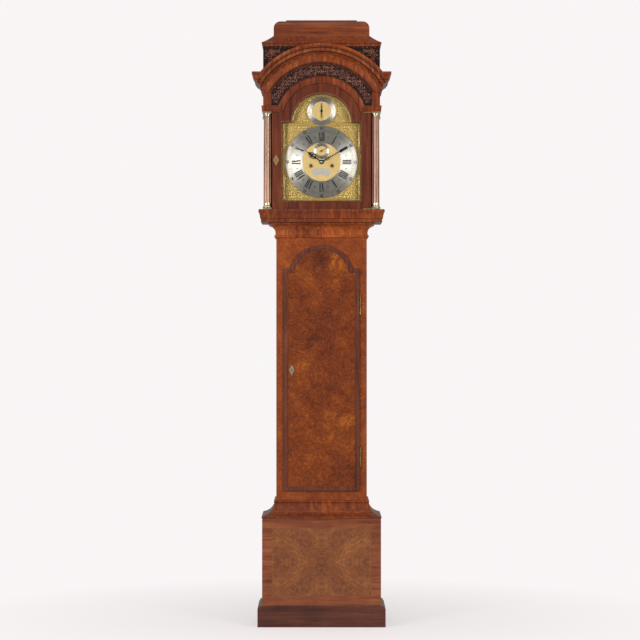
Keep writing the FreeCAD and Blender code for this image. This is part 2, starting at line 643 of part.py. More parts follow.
def build_dial():
    """Break-arch dial plate with its applied rings, cast spandrels and blank name plate."""
    arbors = [("0", "dial_centre", "6.5"), ("0", "dial_centre + seconds_rise", "2.5"),
              ("0", "arch_centre + strike_ring_rise", "2.5"),
              ("barrel_offset", "dial_centre - barrel_drop", "6"),
              ("0 - barrel_offset", "dial_centre - barrel_drop", "6")]
    outline = arched("dial_half", "dial_centre - dial_half", "dial_centre + dial_half",
                     "dial_arch_radius", "arch_centre")
    rear = "dial_front - dial_thick"
    add_node("dial_plate", front_board("dial_sheet", [outline], arbors, rear, "dial_thick"))
    add_node("chapter_ring", ring("hour_ring", "dial_centre", "chapter_outer",
                                  "chapter_inner", "dial_front", "ring_thick"))
    seconds = ring("seconds_scale", "dial_centre + seconds_rise", "seconds_outer",
                   "seconds_inner", "dial_front", "0.8")
    strike = ring("strike_scale", "arch_centre + strike_ring_rise", "strike_ring_outer",
                  "strike_ring_inner", "dial_front", "ring_thick")
    plaque = front_board("name_plate_blank",
                         [rectangle("-44", "dial_centre - 52", "44", "dial_centre - 32")],
                         [], "dial_front", "0.8")
    group("silvered_rings_and_plaque", [seconds, strike, plaque])

    def corner(sign_x, sign_z):
        middle = "dial_centre"
        points = [("146", "146"), ("80", "146"), ("80", "121"),
                  ("121", "80", "102.6", "102.6"), ("146", "80")]
        return [(f"{sign_x} * {point[0]}", f"{middle} + {sign_z} * {point[1]}",
                 *([f"{sign_x} * {point[2]}", f"{middle} + {sign_z} * {point[3]}"]
                   if len(point) == 4 else [])) for point in points]

    mounts = [front_board(f"corner_mount_{i}", [corner(sign_x, sign_z)], [], "dial_front", "2")
              for i, (sign_x, sign_z) in enumerate([(1, 1), (-1, 1), (1, -1), (-1, -1)])]
    side = front_board("arch_mount", [[("50", "1957"), ("110", "1957"),
                                       ("79", "2026", "101", "1994"), ("62", "2022"),
                                       ("60", "1984")]], [], "dial_front", "2")
    group("dial_spandrels", mounts + [side, mirrored(side)])


def hand(name, outline, boss, bore, angle, centre_z, rear, tail=None):
    """A flat hand that points at the angle (clockwise from twelve) on a round boss."""
    blade = front_board(name + "_blade", [outline], [], "0", "hand_thick")
    disc = front_board(name + "_boss", [], [("0", "0", boss)], "0", "hand_thick")
    hole = front_board(name + "_hole", [], [("0", "0", bore)], "-1", "hand_thick + 2")
    solid = fuse(name + "_solid", [blade, disc] + ([tail] if tail else []))
    result = combine("Cut", name + "_cut", solid, hole)
    result.Placement.Rotation = Rotation(Vector(0, 1, 0), number(angle))
    return move(result, "0", f"0 - {rear}", centre_z)


def build_hands():
    """Blued steel hands, each in its own plane in front of the dial."""
    reach = "minute_hand_reach"
    minute = [("-2", "0"), ("2", "0"), ("3.4", f"{reach} * 0.3"),
              ("1.5", f"{reach} * 0.5"), ("0.5", reach), ("-0.5", reach),
              ("-1.5", f"{reach} * 0.5"), ("-3.4", f"{reach} * 0.3")]
    add_node("minute_hand", hand("minute", minute, "6.5", "2.5", "minute_hand_angle",
                                 "dial_centre", "80"))
    reach = "hour_hand_reach"
    hour = [("-2.5", "0"), ("2.5", "0"), ("2.5", f"{reach} * 0.3"), ("9", f"{reach} * 0.62"),
            ("4", f"{reach} * 0.78"), ("0.5", reach), ("-0.5", reach),
            ("-4", f"{reach} * 0.78"), ("-9", f"{reach} * 0.62"), ("-2.5", f"{reach} * 0.3")]
    add_node("hour_hand", hand("hour", hour, "8.5", "5.5", "hour_hand_angle",
                               "dial_centre", "77"))
    reach = "seconds_hand_reach"
    seconds = [("-0.8", "-9"), ("0.8", "-9"), ("0.3", reach), ("-0.3", reach)]
    add_node("seconds_hand", hand("seconds", seconds, "3", "1.2", "seconds_hand_angle",
                                  "dial_centre + seconds_rise", "74.5"))
    reach = "strike_hand_reach"
    lever = [("-0.4", f"0 - {reach}"), ("0.4", f"0 - {reach}"), ("1.5", "-12"), ("1.5", "12"),
             ("0.4", reach), ("-0.4", reach), ("-1.5", "12"), ("-1.5", "-12")]
    blade = hand("strike", lever, "4.5", "1", "0", "arch_centre + strike_ring_rise", "75")
    arbor = cylinder("strike_arbor", "1.5", "10.5",
                     ("0", "-75.5", "arch_centre + strike_ring_rise"), "Y")
    add_node("strike_silent_hand", fuse("strike_lever", [blade, arbor]))


# ---------------------------------------------------------------- the movement
def toothed_disc(teeth, module, phase, outline, y, thickness, centre):
    """A flat toothed disc whose first tooth lies at the phase angle, measured from +X to +Z.

    outline lists one tooth as (radius in modules from the pitch circle, share of a pitch).
    """
    points = []
    for tooth in range(teeth):
        for rise, share in outline:
            angle = phase + 2 * math.pi * (tooth + share) / teeth
            radius = module * (teeth / 2 + rise)
            points.append(Vector(centre[0] + radius * math.cos(angle), y,
                                 centre[1] + radius * math.sin(angle)))
    face = Part.Face(Part.makePolygon(points + points[:1]))
    return face.extrude(Vector(0, thickness, 0))


WHEEL_TOOTH = [(-1.5, -0.25), (0, -0.19), (0.9, -0.05), (0.9, 0.05), (0, 0.19), (-1.5, 0.25)]
PINION_LEAF = [(-1.75, -0.2), (0, -0.14), (0.55, -0.07), (0.55, 0.07), (0, 0.14), (-1.75, 0.2)]
RATCHET_TOOTH = [(-3.4, -0.45), (0, 0.0), (0, 0.06), (-3.4, 0.12)]


def rod(radius, y, length, centre):
    """A round arbor along Y."""
    return Part.makeCylinder(radius, length, Vector(centre[0], y, centre[1]), Vector(0, 1, 0))


def solid_node(name, shapes, hollow=()):
    """A sub-part set from fused shapes, less any hollow ones."""
    shape = shapes[0].multiFuse(shapes[1:]) if len(shapes) > 1 else shapes[0]
    for tool in hollow:
        shape = shape.cut(tool)
    feature = doc.addObject("Part::Feature", name)
    feature.Shape = shape
    return add_node(name, feature)


def facing_angle(start, end):
    """Direction from one arbor to another, from +X to +Z."""
    return math.atan2(end[1] - start[1], end[0] - start[0])


def mesh_phase(angle, teeth):
    """Phase that puts the middle of a pinion's tooth space at the angle."""
    return angle + math.pi / teeth


def arbor_places():
    """Where each arbor stands, as (x, z)."""
    z = number("dial_centre")
    rise = number("seconds_rise")
    barrel = (number("barrel_offset"), z - number("barrel_drop"))
    centre, escape = (0.0, z), (0.0, z + rise)
    first, second = 0.8 * (60 + 8) / 2, 0.75 * (56 + 7) / 2
    along = (first ** 2 - second ** 2 + rise ** 2) / (2 * rise)
    third = (-math.sqrt(first ** 2 - along ** 2), z + along)
    return {"going": barrel, "strike": (-barrel[0], barrel[1]), "centre": centre,
            "third": third, "escape": escape, "minute": (0.0, z - 28.8),
            "pallets": (0.0, z + number("pallet_rise")), "hammer": (-58.0, z + 90)}


def build_going_train(places):
    """Barrel, great wheel, centre, third and escape wheels and the motion work."""
    going, centre, third = places["going"], places["centre"], places["third"]
    escape, minute = places["escape"], places["minute"]
    front, back = -number("plate_front"), number("plate_back")
    barrel_radius = number("barrel_radius")

    great_module = 2 * math.dist(going, centre) / (96 + 8)
    toward = facing_angle(going, centre)
    great = toothed_disc(96, great_module, toward, WHEEL_TOOTH, -20, 3, going)
    solid_node("going_great_wheel", [great], [rod(3.08, -25, 12, going)])
    for side, place, wheel_y in (("going", going, None), ("strike", places["strike"], -26)):
        parts = [rod(3, -68, back + 70, place), rod(barrel_radius - 1.4, -14, 23, place),
                 rod(barrel_radius, -14, 1.5, place), rod(barrel_radius, 7.5, 1.5, place)]
        if wheel_y:
            parts.append(toothed_disc(84, great_module, 0, WHEEL_TOOTH, wheel_y, 3, place))
        solid_node(side + "_barrel", parts)

    pinion = toothed_disc(8, great_module, mesh_phase(toward + math.pi, 8), PINION_LEAF,
                          -21.5, 6, centre)
    onward = facing_angle(centre, third)
    wheel = toothed_disc(60, 0.8, onward, WHEEL_TOOTH, 12, 2, centre)
    down = facing_angle(centre, minute)
    cannon = toothed_disc(36, 0.8, down, WHEEL_TOOTH, -43, 2, centre)
    solid_node("centre_wheel", [rod(2, -81.5, back + 83, centre), pinion, wheel, cannon,
                                rod(3.9, -79.6, 38, centre)])

    pinion = toothed_disc(8, 0.8, mesh_phase(onward + math.pi, 8), PINION_LEAF, 10, 6, third)
    upward = facing_angle(third, escape)
    wheel = toothed_disc(56, 0.75, upward, WHEEL_TOOTH, 22, 2, third)
    solid_node("third_wheel", [rod(1.2, front - 2, back - front + 4, third), pinion, wheel])

    pinion = toothed_disc(7, 0.75, mesh_phase(upward + math.pi, 7), PINION_LEAF, 20, 6, escape)
    wheel = toothed_disc(30, 1.25, 0, RATCHET_TOOTH, -6, 2, escape)
    solid_node("escape_wheel", [rod(1.1, -76.2, back + 78.2, escape), pinion, wheel])

    wheel = toothed_disc(36, 0.8, mesh_phase(down + math.pi, 36), WHEEL_TOOTH, -43, 2, minute)
    small_module = 2 * 28.8 / (72 + 6)
    pinion = toothed_disc(6, small_module, mesh_phase(down + math.pi, 6), PINION_LEAF,
                          -51, 8.5, minute)
    solid_node("minute_wheel", [rod(1.3, -53, 20, minute), wheel, pinion])
    wheel = toothed_disc(72, small_module, down, WHEEL_TOOTH, -50, 2, centre)
    solid_node("hour_wheel", [wheel, rod(5.5, -78.2, 29, centre)], [rod(4.2, -90, 60, centre)])


def build_frame(places):
    """Movement plates, pillars and dial feet, back cock, bell and hammer."""
    seat, top = "cheek_top + seat_thick", "plate_top"
    outline = rectangle("0 - plate_half", seat, "plate_half", top)
    radii = {"going": 3.1, "strike": 3.1, "centre": 2.1, "third": 1.3, "escape": 1.2,
             "pallets": 1.4}
    pivots = [(places[name][0], places[name][1], radius) for name, radius in radii.items()]
    shared = [(str(x), str(z), str(radius)) for x, z, radius in pivots]
    stud = [(str(places["minute"][0]), str(places["minute"][1]), "1.4")]
    posts = [(sign * x, z) for sign in (1, -1) for x, z in ((58, 1722), (69, 1876))]
    feet = [(sign * x, z) for sign in (1, -1) for x, z in ((56, 1745), (56, 1862))]
    front = front_board("front_plate", [outline], shared + stud, "plate_front", "plate_thick")
    back = front_board("back_plate", [outline], shared,
                       "0 - plate_back - plate_thick", "plate_thick")
    group("movement_plates", [front, back])
    pillars = [cylinder(f"pillar_{i}", "4.5", "plate_front + plate_back",
                        (str(x), "0 - plate_front", str(z)), "Y")
               for i, (x, z) in enumerate(posts)]
    pillars += [cylinder(f"dial_foot_{i}", "3", "dial_front - dial_thick - plate_front - 3",
                         (str(x), "dial_thick - dial_front", str(z)), "Y")
                for i, (x, z) in enumerate(feet)]
    group("movement_pillars", pillars)

    z = "( dial_centre + pallet_rise )"
    behind = "plate_back + plate_thick"
    bridge = box("cock_bridge", ("56", "4", "18"), ("-28", f"{behind} + 9", f"{z} - 6"))
    cock_feet = [box(f"cock_foot_{i}", ("8", "9", "18"), (x, behind, f"{z} - 6"))
                 for i, x in enumerate(("-28", "20"))]
    arm = box("cock_arm", ("12", "18", "6"), ("-6", f"{behind} + 12", f"{z} + 6"))
    cheeks = [box(f"cock_cheek_{i}", ("3", "6", "7"), (x, "pendulum_back - 3", f"{z} + 0.5"))
              for i, x in enumerate(("-4", "1"))]
    bore = cylinder("cock_bore", "1.4", "20", ("0", behind, z), "Y")
    add_node("back_cock", combine("Cut", "cock_bored",
                                  fuse("cock_solid", [bridge, arm] + cock_feet + cheeks), bore))

    bell = [("0", "1962"), ("10", "1962"), ("42", "1934", "33", "1955"),
            ("47", "1918", "43", "1925"), ("45", "1918"), ("40", "1934", "41", "1925"),
            ("10", "1960", "32", "1953"), ("0", "1960")]
    dome = move(turned("bell_dome", bell), "0", "0", "0")
    post = cylinder("bell_post", "2.5", "60", ("0", "0", "1900"))
    arm = box("bell_bracket", ("6", "plate_back", "5"), ("-3", "0", "1895"))
    add_node("bell", fuse("bell_and_stand", [dome, post, arm]))

    hammer = places["hammer"]
    shaft = rod(1.5, -32.5, 61.5, hammer)
    stem = Part.makeCylinder(1.2, 32, Vector(hammer[0], 0, hammer[1]), Vector(0, 0, 1))
    head = Part.makeCylinder(5, 14, Vector(hammer[0] - 8, 0, hammer[1] + 32), Vector(1, 0, 0))
    solid_node("bell_hammer", [shaft, stem, head])


def build_pendulum(places):
    """Pallets with their crutch, and the seconds pendulum that swings on the same axis."""
    pivot = places["pallets"]
    behind = number("plate_back") + number("plate_thick")
    right = [(0, 4.5), (16, -4), (19, -11), (15.5, -13), (12.5, -7), (0, -4.5)]
    shape = right + [(-x, z) for x, z in reversed(right[1:-1])]
    corners = [Vector(x, -6.5, pivot[1] + z) for x, z in shape]
    anchor = Part.Face(Part.makePolygon(corners + corners[:1])).extrude(Vector(0, 3, 0))
    arbor = rod(1.3, -36, behind + 9 + 36 + 3, pivot)
    crutch = Part.makeCylinder(1.3, 83, Vector(0, behind + 4, pivot[1] - 83), Vector(0, 0, 1))
    foot = Part.makeBox(11, 17, 4, Vector(-5.5, behind + 2, pivot[1] - 86))
    tines = [Part.makeBox(1.9, 12, 4, Vector(x, behind + 19, pivot[1] - 86))
             for x in (-5.5, 3.6)]
    solid_node("pallet_anchor", [anchor, arbor, crutch, foot] + tines)

    z = "( dial_centre + pallet_rise )"
    bob_z = f"{z} - pendulum_length"
    spring = box("suspension_spring", ("0.4", "5", "30"),
                 ("-0.2", "pendulum_back - 2.5", f"{z} - 25"))
    rod_low = f"{bob_z} - bob_radius - 22"
    shaft = cylinder("pendulum_shaft", "2.8", "pendulum_length - 22 + bob_radius + 22",
                     ("0", "pendulum_back", rod_low))
    nut = cylinder("rating_nut", "8", "6", ("0", "pendulum_back", f"{bob_z} - bob_radius - 8"))
    add_node("pendulum_rod", fuse("pendulum_shaft_solid", [spring, shaft, nut]))
    lens = [("0", "-14"), ("8", "-14"),
            ("bob_radius - 1.5", "-2.5", "bob_radius * 0.58", "-10.8"),
            ("bob_radius - 1.5", "2.5"), ("8", "14", "bob_radius * 0.58", "10.8"), ("0", "14")]
    disc = move(turned("bob_lens", lens, "Y"), "0", "pendulum_back", bob_z)
    bore = cylinder("bob_bore", "3", "120", ("0", "pendulum_back", f"{bob_z} - 60"))
    add_node("pendulum_bob", combine("Cut", "bob_bored", disc, bore))


def build_weights():
    """Two lead weights in brass shells, each on a pulley in a doubled gut line."""
    low, height = "weight_bottom", "weight_height"
    shell = [("0", "0"), ("weight_radius - 2", "0"), ("weight_radius", "2"),
             ("weight_radius", f"{height} - 5"),
             ("weight_radius - 5", height, "weight_radius - 1.5", f"{height} - 1.5"),
             ("5", height), ("5", f"{height} + 5"), ("0", f"{height} + 5")]
    wheel = [("2.08", "-3.5"), ("24", "-3.5"), ("24", "-1.6"), ("20.6", "-1.6"),
             ("20.6", "1.6"), ("24", "1.6"), ("24", "3.5"), ("2.08", "3.5")]
    axle_z = f"{low} + pulley_rise"
    tails = []
    for train, sign in (("going", "0 +"), ("strike", "0 -")):
        x = f"{sign} weight_offset"
        body = move(turned(train + "_shell", shell), x, "0", low)
        foot = box(train + "_stirrup_foot", ("14", "14", "4"),
                   (f"{x} - 7", "-7", f"{low} + {height} + 4"))
        arms = [box(f"{train}_stirrup_{i}", ("12", "2", "41"),
                    (f"{x} - 6", y, f"{low} + {height} + 4"))
                for i, y in enumerate(("-7", "5"))]
        pin = cylinder(train + "_pulley_pin", "2", "14", (x, "-7", axle_z), "Y")
        add_node(train + "_weight", fuse(train + "_weight_solid", [body, foot, pin] + arms))
        pulley = move(turned(train + "_sheave", wheel, "Y"), x, "0", axle_z)
        add_node(train + "_pulley", pulley)

        inner = f"{sign} ( weight_offset - pulley_radius )"
        outer = f"{sign} ( weight_offset + pulley_radius )"
        falls = [cylinder(f"{train}_fall_{i}", "gut_radius", f"cheek_top - ( {axle_z} )",
                          (fall_x, "0", axle_z)) for i, fall_x in enumerate((inner, outer))]
        group(train + "_gut_line", falls)
        rise = "dial_centre - barrel_drop - cheek_top"
        tails.append(cylinder(train + "_gut_rise", "gut_radius", rise,
                              (inner, "0", "cheek_top")))
        hitch = cylinder(train + "_gut_hitch", "gut_radius", "seat_thick + 4",
                         (outer, "0", "cheek_top"))
        knot = cylinder(train + "_gut_knot", "6.5", "5", (outer, "0", "cheek_top + seat_thick"))
        tails.append(fuse(train + "_gut_end", [hitch, knot]))
    group("gut_line_tails", tails)


# ---------------------------------------------------------------- build, check and export
def check_document():
    """Stop if any object failed or any sub-part is empty or broken."""
    doc.recompute()
    failed = [obj.Name for obj in doc.Objects
              if "Invalid" in obj.State or "Error" in obj.State]
    if failed:
        raise RuntimeError(f"failed objects: {failed}")
    for name, obj in nodes.items():
        if obj.Shape.isNull() or not obj.Shape.isValid() or not obj.Shape.Solids:
            raise RuntimeError(f"bad shape: {name}")


def export_nodes():
    """Write each sub-part to its own STEP file."""
    os.makedirs("parts", exist_ok=True)
    for name, obj in nodes.items():
        obj.Shape.exportStep(f"parts/{name}.step")
    print(f"{len(nodes)} sub-parts written")


build_base()
build_trunk()
build_trunk_hinges()
build_trunk_door()
build_hood_body()
build_entablature()
build_columns()
build_caddy()
build_hood_door()
build_dial()
build_hands()
arbors = arbor_places()
build_going_train(arbors)
build_frame(arbors)
build_pendulum(arbors)
build_weights()
doc.removeObject("probe")
check_document()
export_nodes()
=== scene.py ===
"""Looks of the longcase clock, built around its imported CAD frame. Everything is in metres."""
import json
import math
import random

import bmesh
import bpy
from mathutils import Matrix, Vector


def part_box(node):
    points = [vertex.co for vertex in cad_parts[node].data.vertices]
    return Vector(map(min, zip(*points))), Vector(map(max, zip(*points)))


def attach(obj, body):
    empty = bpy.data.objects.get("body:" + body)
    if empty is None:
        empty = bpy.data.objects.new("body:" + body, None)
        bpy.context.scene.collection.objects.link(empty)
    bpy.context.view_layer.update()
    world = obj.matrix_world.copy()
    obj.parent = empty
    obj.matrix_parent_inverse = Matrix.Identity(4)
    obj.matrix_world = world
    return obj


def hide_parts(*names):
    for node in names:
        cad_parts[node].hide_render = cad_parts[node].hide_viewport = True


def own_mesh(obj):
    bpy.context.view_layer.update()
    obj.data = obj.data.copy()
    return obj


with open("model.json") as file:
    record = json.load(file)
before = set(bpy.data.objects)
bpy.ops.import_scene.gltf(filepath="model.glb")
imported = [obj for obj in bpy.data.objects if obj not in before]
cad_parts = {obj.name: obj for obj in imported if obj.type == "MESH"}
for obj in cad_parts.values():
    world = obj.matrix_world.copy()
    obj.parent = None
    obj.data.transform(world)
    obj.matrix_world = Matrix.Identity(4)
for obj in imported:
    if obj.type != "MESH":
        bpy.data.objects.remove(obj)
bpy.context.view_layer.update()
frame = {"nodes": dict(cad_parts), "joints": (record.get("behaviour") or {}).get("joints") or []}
nodes = frame["nodes"]


# ---- where things are
def pivot(joint):
    """The (x, z) place of a joint's axis."""
    found = next(row for row in frame["joints"] if row["name"] == joint)
    return found["pos_m"][0], found["pos_m"][2]


dial_middle = pivot("centre_arbor_spin")
seconds_middle = pivot("escape_arbor_spin")
strike_middle = pivot("strike_silent_lever")
ring_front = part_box("chapter_ring")[0][1]
plate_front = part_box("dial_plate")[0][1]
ring_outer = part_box("chapter_ring")[1][0]
frieze_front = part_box("hood_frieze_and_roof")[0][1]
ARCH_CENTRE = 1.947


# ---- material helpers
def new_look(name, **sockets):
    """A material with a Principled shader whose named sockets hold constants."""
    material = bpy.data.materials.new(name)
    material.use_nodes = True
    tree = material.node_tree
    shader = tree.nodes["Principled BSDF"]
    for socket, value in sockets.items():
        shader.inputs[socket.replace("_", " ")].default_value = value
    return material, tree, shader


def add(tree, kind, **values):
    """A shader node with its properties and its inputs set by name."""
    node = tree.nodes.new("ShaderNode" + kind)
    for key, value in values.items():
        label = key.replace("_", " ")
        if hasattr(node, key):
            setattr(node, key, value)
        else:
            node.inputs[label].default_value = value
    return node


def feed(tree, sockets, values):
    """Gives each socket its value, which is a number, a colour or another node's output."""
    for socket, value in zip(sockets, values):
        if isinstance(value, (int, float)):
            socket.default_value = value
        elif isinstance(value, tuple):
            socket.default_value = (*value, 1.0)
        else:
            tree.links.new(value, socket)


def math_node(tree, operation, first, second=0.0):
    """A maths node fed by sockets or numbers; returns its output."""
    node = add(tree, "Math", operation=operation)
    feed(tree, node.inputs, (first, second))
    return node.outputs[0]


def plus(tree, first, second):
    """The sum of two values."""
    return math_node(tree, "ADD", first, second)


def minus(tree, first, second):
    """The first value less the second."""
    return math_node(tree, "SUBTRACT", first, second)


def times(tree, first, second):
    """The product of two values."""
    return math_node(tree, "MULTIPLY", first, second)


def size_of(tree, value):
    """A value without its sign."""
    return math_node(tree, "ABSOLUTE", value)


def length_of(tree, first, second):
    """The length of a flat vector of two values."""
    return math_node(tree, "SQRT", plus(tree, times(tree, first, first),
                                        times(tree, second, second)))


def ramp(tree, factor, stops):
    """A colour ramp of (position, colour) stops; returns its colour."""
    node = add(tree, "ValToRGB")
    elements = node.color_ramp.elements
    while len(elements) < len(stops):
        elements.new(0.5)
    for element, (position, colour) in zip(elements, stops):
        element.position = position
        element.color = (*colour, 1.0)
    tree.links.new(factor, node.inputs["Fac"])
    return node.outputs["Color"]


def mix(tree, factor, first, second, blend="MIX"):
    """Mixes two colours by a factor, which may be a number."""
    node = add(tree, "MixRGB", blend_type=blend)
    feed(tree, node.inputs, (factor, first, second))
    return node.outputs["Color"]


def noise(tree, vector, scale, detail=5.0, rough=0.55, distortion=0.0):
    """Noise at a scale; returns its value."""
    node = add(tree, "TexNoise", Scale=scale, Detail=detail, Roughness=rough,
               Distortion=distortion)
    tree.links.new(vector, node.inputs["Vector"])
    return node.outputs["Fac"]


def stretched(tree, vector, scale):
    """A vector scaled by axis, so that figure runs along the least scaled axis."""
    node = add(tree, "Mapping")
    node.inputs["Scale"].default_value = scale
    tree.links.new(vector, node.inputs["Vector"])
    return node.outputs["Vector"]


def split(tree, vector):
    """The three parts of a vector."""
    node = add(tree, "SeparateXYZ")
    tree.links.new(vector, node.inputs[0])
    return node.outputs


def join(tree, x, y, z):
    """A vector of three values."""
    node = add(tree, "CombineXYZ")
    feed(tree, node.inputs, (x, y, z))
    return node.outputs[0]


def bump(tree, shader, height, distance, strength=0.5):
    """Fine relief from a height value."""
    node = add(tree, "Bump", Strength=strength, Distance=distance)
    tree.links.new(height, node.inputs["Height"])
    tree.links.new(node.outputs["Normal"], shader.inputs["Normal"])


def share_of(tree, value, low, high, out_low=0.0, out_high=1.0):
    """A value carried from one range to another."""
    node = add(tree, "MapRange", From_Min=low, From_Max=high, To_Min=out_low, To_Max=out_high)
    tree.links.new(value, node.inputs["Value"])
    return node.outputs["Result"]


# ---- walnut, in its several cuts
LEFT_TONE, RIGHT_TONE = (0.82, 0.82, 0.95), (1.06, 1.04, 0.90)
RICH = ((0.070, 0.013, 0.004), (0.170, 0.036, 0.008), (0.300, 0.080, 0.017))
BANDING = ((0.080, 0.018, 0.006), (0.190, 0.050, 0.018), (0.300, 0.100, 0.036))
REED_TONES = ((0.270, 0.130, 0.070), (0.420, 0.235, 0.145), (0.600, 0.390, 0.260))
COLUMN_RADIUS, COLUMN_REEDS = 0.0134, 10
QUIRK_REACH = 0.0036
SOFT_COAT, SOFT_HAZE = 0.34, 0.17
BORDER = 0.038


def straight_figure(tree, vector, along, tones, fineness=1.0):
    """Colour of plain walnut whose grain runs along an axis, with pores and slow bands."""
    scales = {"x": (4, 90, 90), "y": (90, 4, 90), "z": (90, 90, 4)}[along]
    pores = {"x": (60, 1400, 1400), "y": (1400, 60, 1400), "z": (1400, 1400, 60)}[along]
    coarse = noise(tree, stretched(tree, vector, scales), fineness, 8.0, 0.62, 0.7)
    slow = noise(tree, vector, 7.0, 3.0)
    blend = plus(tree, times(tree, coarse, 0.75), times(tree, slow, 0.30))
    colour = ramp(tree, blend, [(0.36, tones[0]), (0.53, tones[1]), (0.70, tones[2])])
    pore = noise(tree, stretched(tree, vector, pores), 1.0, 2.0)
    darker = ramp(tree, pore, [(0.36, (0.45, 0.40, 0.38)), (0.50, (1.0, 1.0, 1.0))])
    return mix(tree, 0.55, colour, darker, "MULTIPLY"), pore


def distance_from(tree, vector, middle):
    """How far a point is from an (x, z) place."""
    parts = split(tree, vector)
    return length_of(tree, minus(tree, parts[0], middle[0]), minus(tree, parts[2], middle[1]))


def burr_figure(tree, vector, tones, lift):
    """Colour of burr walnut: fine mottle, dark clouds, golden patches and small dark eyes."""
    swirl = noise(tree, vector, 34.0, 9.0, 0.70, 2.6)
    clouds = noise(tree, vector, 8.0, 5.0, 0.60, 1.6)
    fine = noise(tree, vector, 210.0, 5.0, 0.75, 1.4)
    cells = add(tree, "TexVoronoi", Scale=150.0)
    tree.links.new(vector, cells.inputs["Vector"])
    eyes = ramp(tree, cells.outputs["Distance"],
                [(0.12, (0.28, 0.22, 0.20)), (0.34, (1.0, 1.0, 1.0))])
    blend = plus(tree, times(tree, swirl, 0.44),
                 plus(tree, times(tree, clouds, 0.34), times(tree, fine, 0.42)))
    colour = ramp(tree, plus(tree, blend, lift), list(zip((0.44, 0.56, 0.66, 0.76), tones)))
    return mix(tree, 0.45, colour, eyes, "MULTIPLY"), fine


def polish(shader, tree, colour, relief, coat=SOFT_COAT, haze=SOFT_HAZE):
    """French polish: a clear coat over coloured wood with open pores."""
    tree.links.new(colour, shader.inputs["Base Color"])
    shader.inputs["Roughness"].default_value = 0.46
    shader.inputs["Specular IOR Level"].default_value = 0.18
    shader.inputs["Coat Weight"].default_value = coat
    shader.inputs["Coat Roughness"].default_value = haze
    bump(tree, shader, relief, 0.0003, 0.2)


def object_vector(tree):
    """The object's own coordinates, which are the clock's."""
    return add(tree, "TexCoord").outputs["Object"]


def plain_walnut(name, along, tones, coat=SOFT_COAT, haze=SOFT_HAZE):
    """Polished walnut with straight grain along an axis."""
    material, tree, shader = new_look(name)
    colour, relief = straight_figure(tree, object_vector(tree), along, tones)
    polish(shader, tree, colour, relief, coat, haze)
    return material


def reeded_column():
    """Walnut columns whose flutes hold pale brass reeds."""
    material, tree, shader = new_look("walnut_column")
    vector = object_vector(tree)
    parts = split(tree, vector)
    low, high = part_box("hood_columns")
    across = minus(tree, size_of(tree, parts[0]), high[0] - COLUMN_RADIUS)
    front = minus(tree, parts[1], low[1] + COLUMN_RADIUS)
    turn = times(tree, math_node(tree, "ARCTAN2", across, front), COLUMN_REEDS / math.tau)
    reed = size_of(tree, minus(tree, math_node(tree, "FRACT", turn), 0.5))
    colour, relief = straight_figure(tree, vector, "z", RICH)
    brass = straight_figure(tree, vector, "z", REED_TONES)[0]
    stripe = ramp(tree, reed, [(0.22, (0.0, 0.0, 0.0)), (0.26, (1.0, 1.0, 1.0))])
    polish(shader, tree, mix(tree, stripe, colour, brass), relief, 0.7, 0.12)
    return material


def cross_veneer(name, piece_length, tones, quirks=()):
    """Cross-grained moulding veneer laid in short lengths, each of its own tone.

    Painted shade darkens the quirks, which are arcs of the given radii.
    """
    material, tree, shader = new_look(name)
    vector = object_vector(tree)
    x, y, z = split(tree, vector)
    piece = math_node(tree, "FLOOR", math_node(tree, "DIVIDE", plus(tree, x, y), piece_length))
    shifted = join(tree, plus(tree, x, times(tree, piece, 3.7)), y, z)
    colour, relief = straight_figure(tree, shifted, "z", tones)
    tone = noise(tree, join(tree, times(tree, piece, 7.31), 0.5, 0.5), 1.0, 0.0)
    varied = ramp(tree, tone, [(0.35, (0.80, 0.78, 0.80)), (0.65, (1.20, 1.16, 1.05))])
    colour = mix(tree, 1.0, colour, varied, "MULTIPLY")
    halves = mix(tree, math_node(tree, "GREATER_THAN", x, 0.002), LEFT_TONE, RIGHT_TONE)
    colour = mix(tree, 1.0, colour, halves, "MULTIPLY")
    if quirks:
        reach = distance_from(tree, vector, (0.0, ARCH_CENTRE))
        for radius in quirks:
            near = size_of(tree, minus(tree, reach, radius))
            # Painted shade: the colour is darkened along each quirk arc, where shadow lines fall
            # between the mouldings.
            quirk_painted_shade = ramp(tree, math_node(tree, "DIVIDE", near, QUIRK_REACH),
                        [(0.30, (0.16, 0.13, 0.13)), (1.0, (1.0, 1.0, 1.0))])
            colour = mix(tree, 1.0, colour, quirk_painted_shade, "MULTIPLY")
    polish(shader, tree, colour, relief, 0.22)
    return material


def cross_band(tree, vector, across, colour, half_width, low_z, high_z):
    """A colour inside a cross-banded edge."""
    z = split(tree, vector)[2]
    banded = straight_figure(tree, vector, "x", BANDING)[0]
    side = math_node(tree, "GREATER_THAN", across, half_width - BORDER)
    top = math_node(tree, "GREATER_THAN", z, high_z - BORDER)
    bottom = math_node(tree, "LESS_THAN", z, low_z + BORDER)
    edge = math_node(tree, "MAXIMUM", side, math_node(tree, "MAXIMUM", top, bottom))
    return mix(tree, edge, colour, banded)


def burr_veneer(name, tones, patches=(), panel=None):
    """Burr veneer, in which each patch is an (x, z) place, a reach and how much lighter it is.

    A panel of (half width, low z, high z) is quartered inside a cross-banded edge.
    """
    material, tree, shader = new_look(name)
    vector = object_vector(tree)
    across, y, up = split(tree, vector)
    if panel:
        across = size_of(tree, across)
        up = size_of(tree, minus(tree, up, (panel[1] + panel[2]) / 2))
    wild = times(tree, noise(tree, vector, 9.0, 2.0), 0.012)
    lift = 0.0
    for place, reach, lighter in patches:
        near = share_of(tree, distance_from(tree, vector, place), 0.0, reach, lighter, 0.0)
        lift = plus(tree, near, lift)
    matched = join(tree, plus(tree, across, wild), y, up)
    colour, relief = burr_figure(tree, matched, tones, lift)
    if panel:
        colour = cross_band(tree, vector, across, colour, *panel)
    polish(shader, tree, colour, relief)
    return material


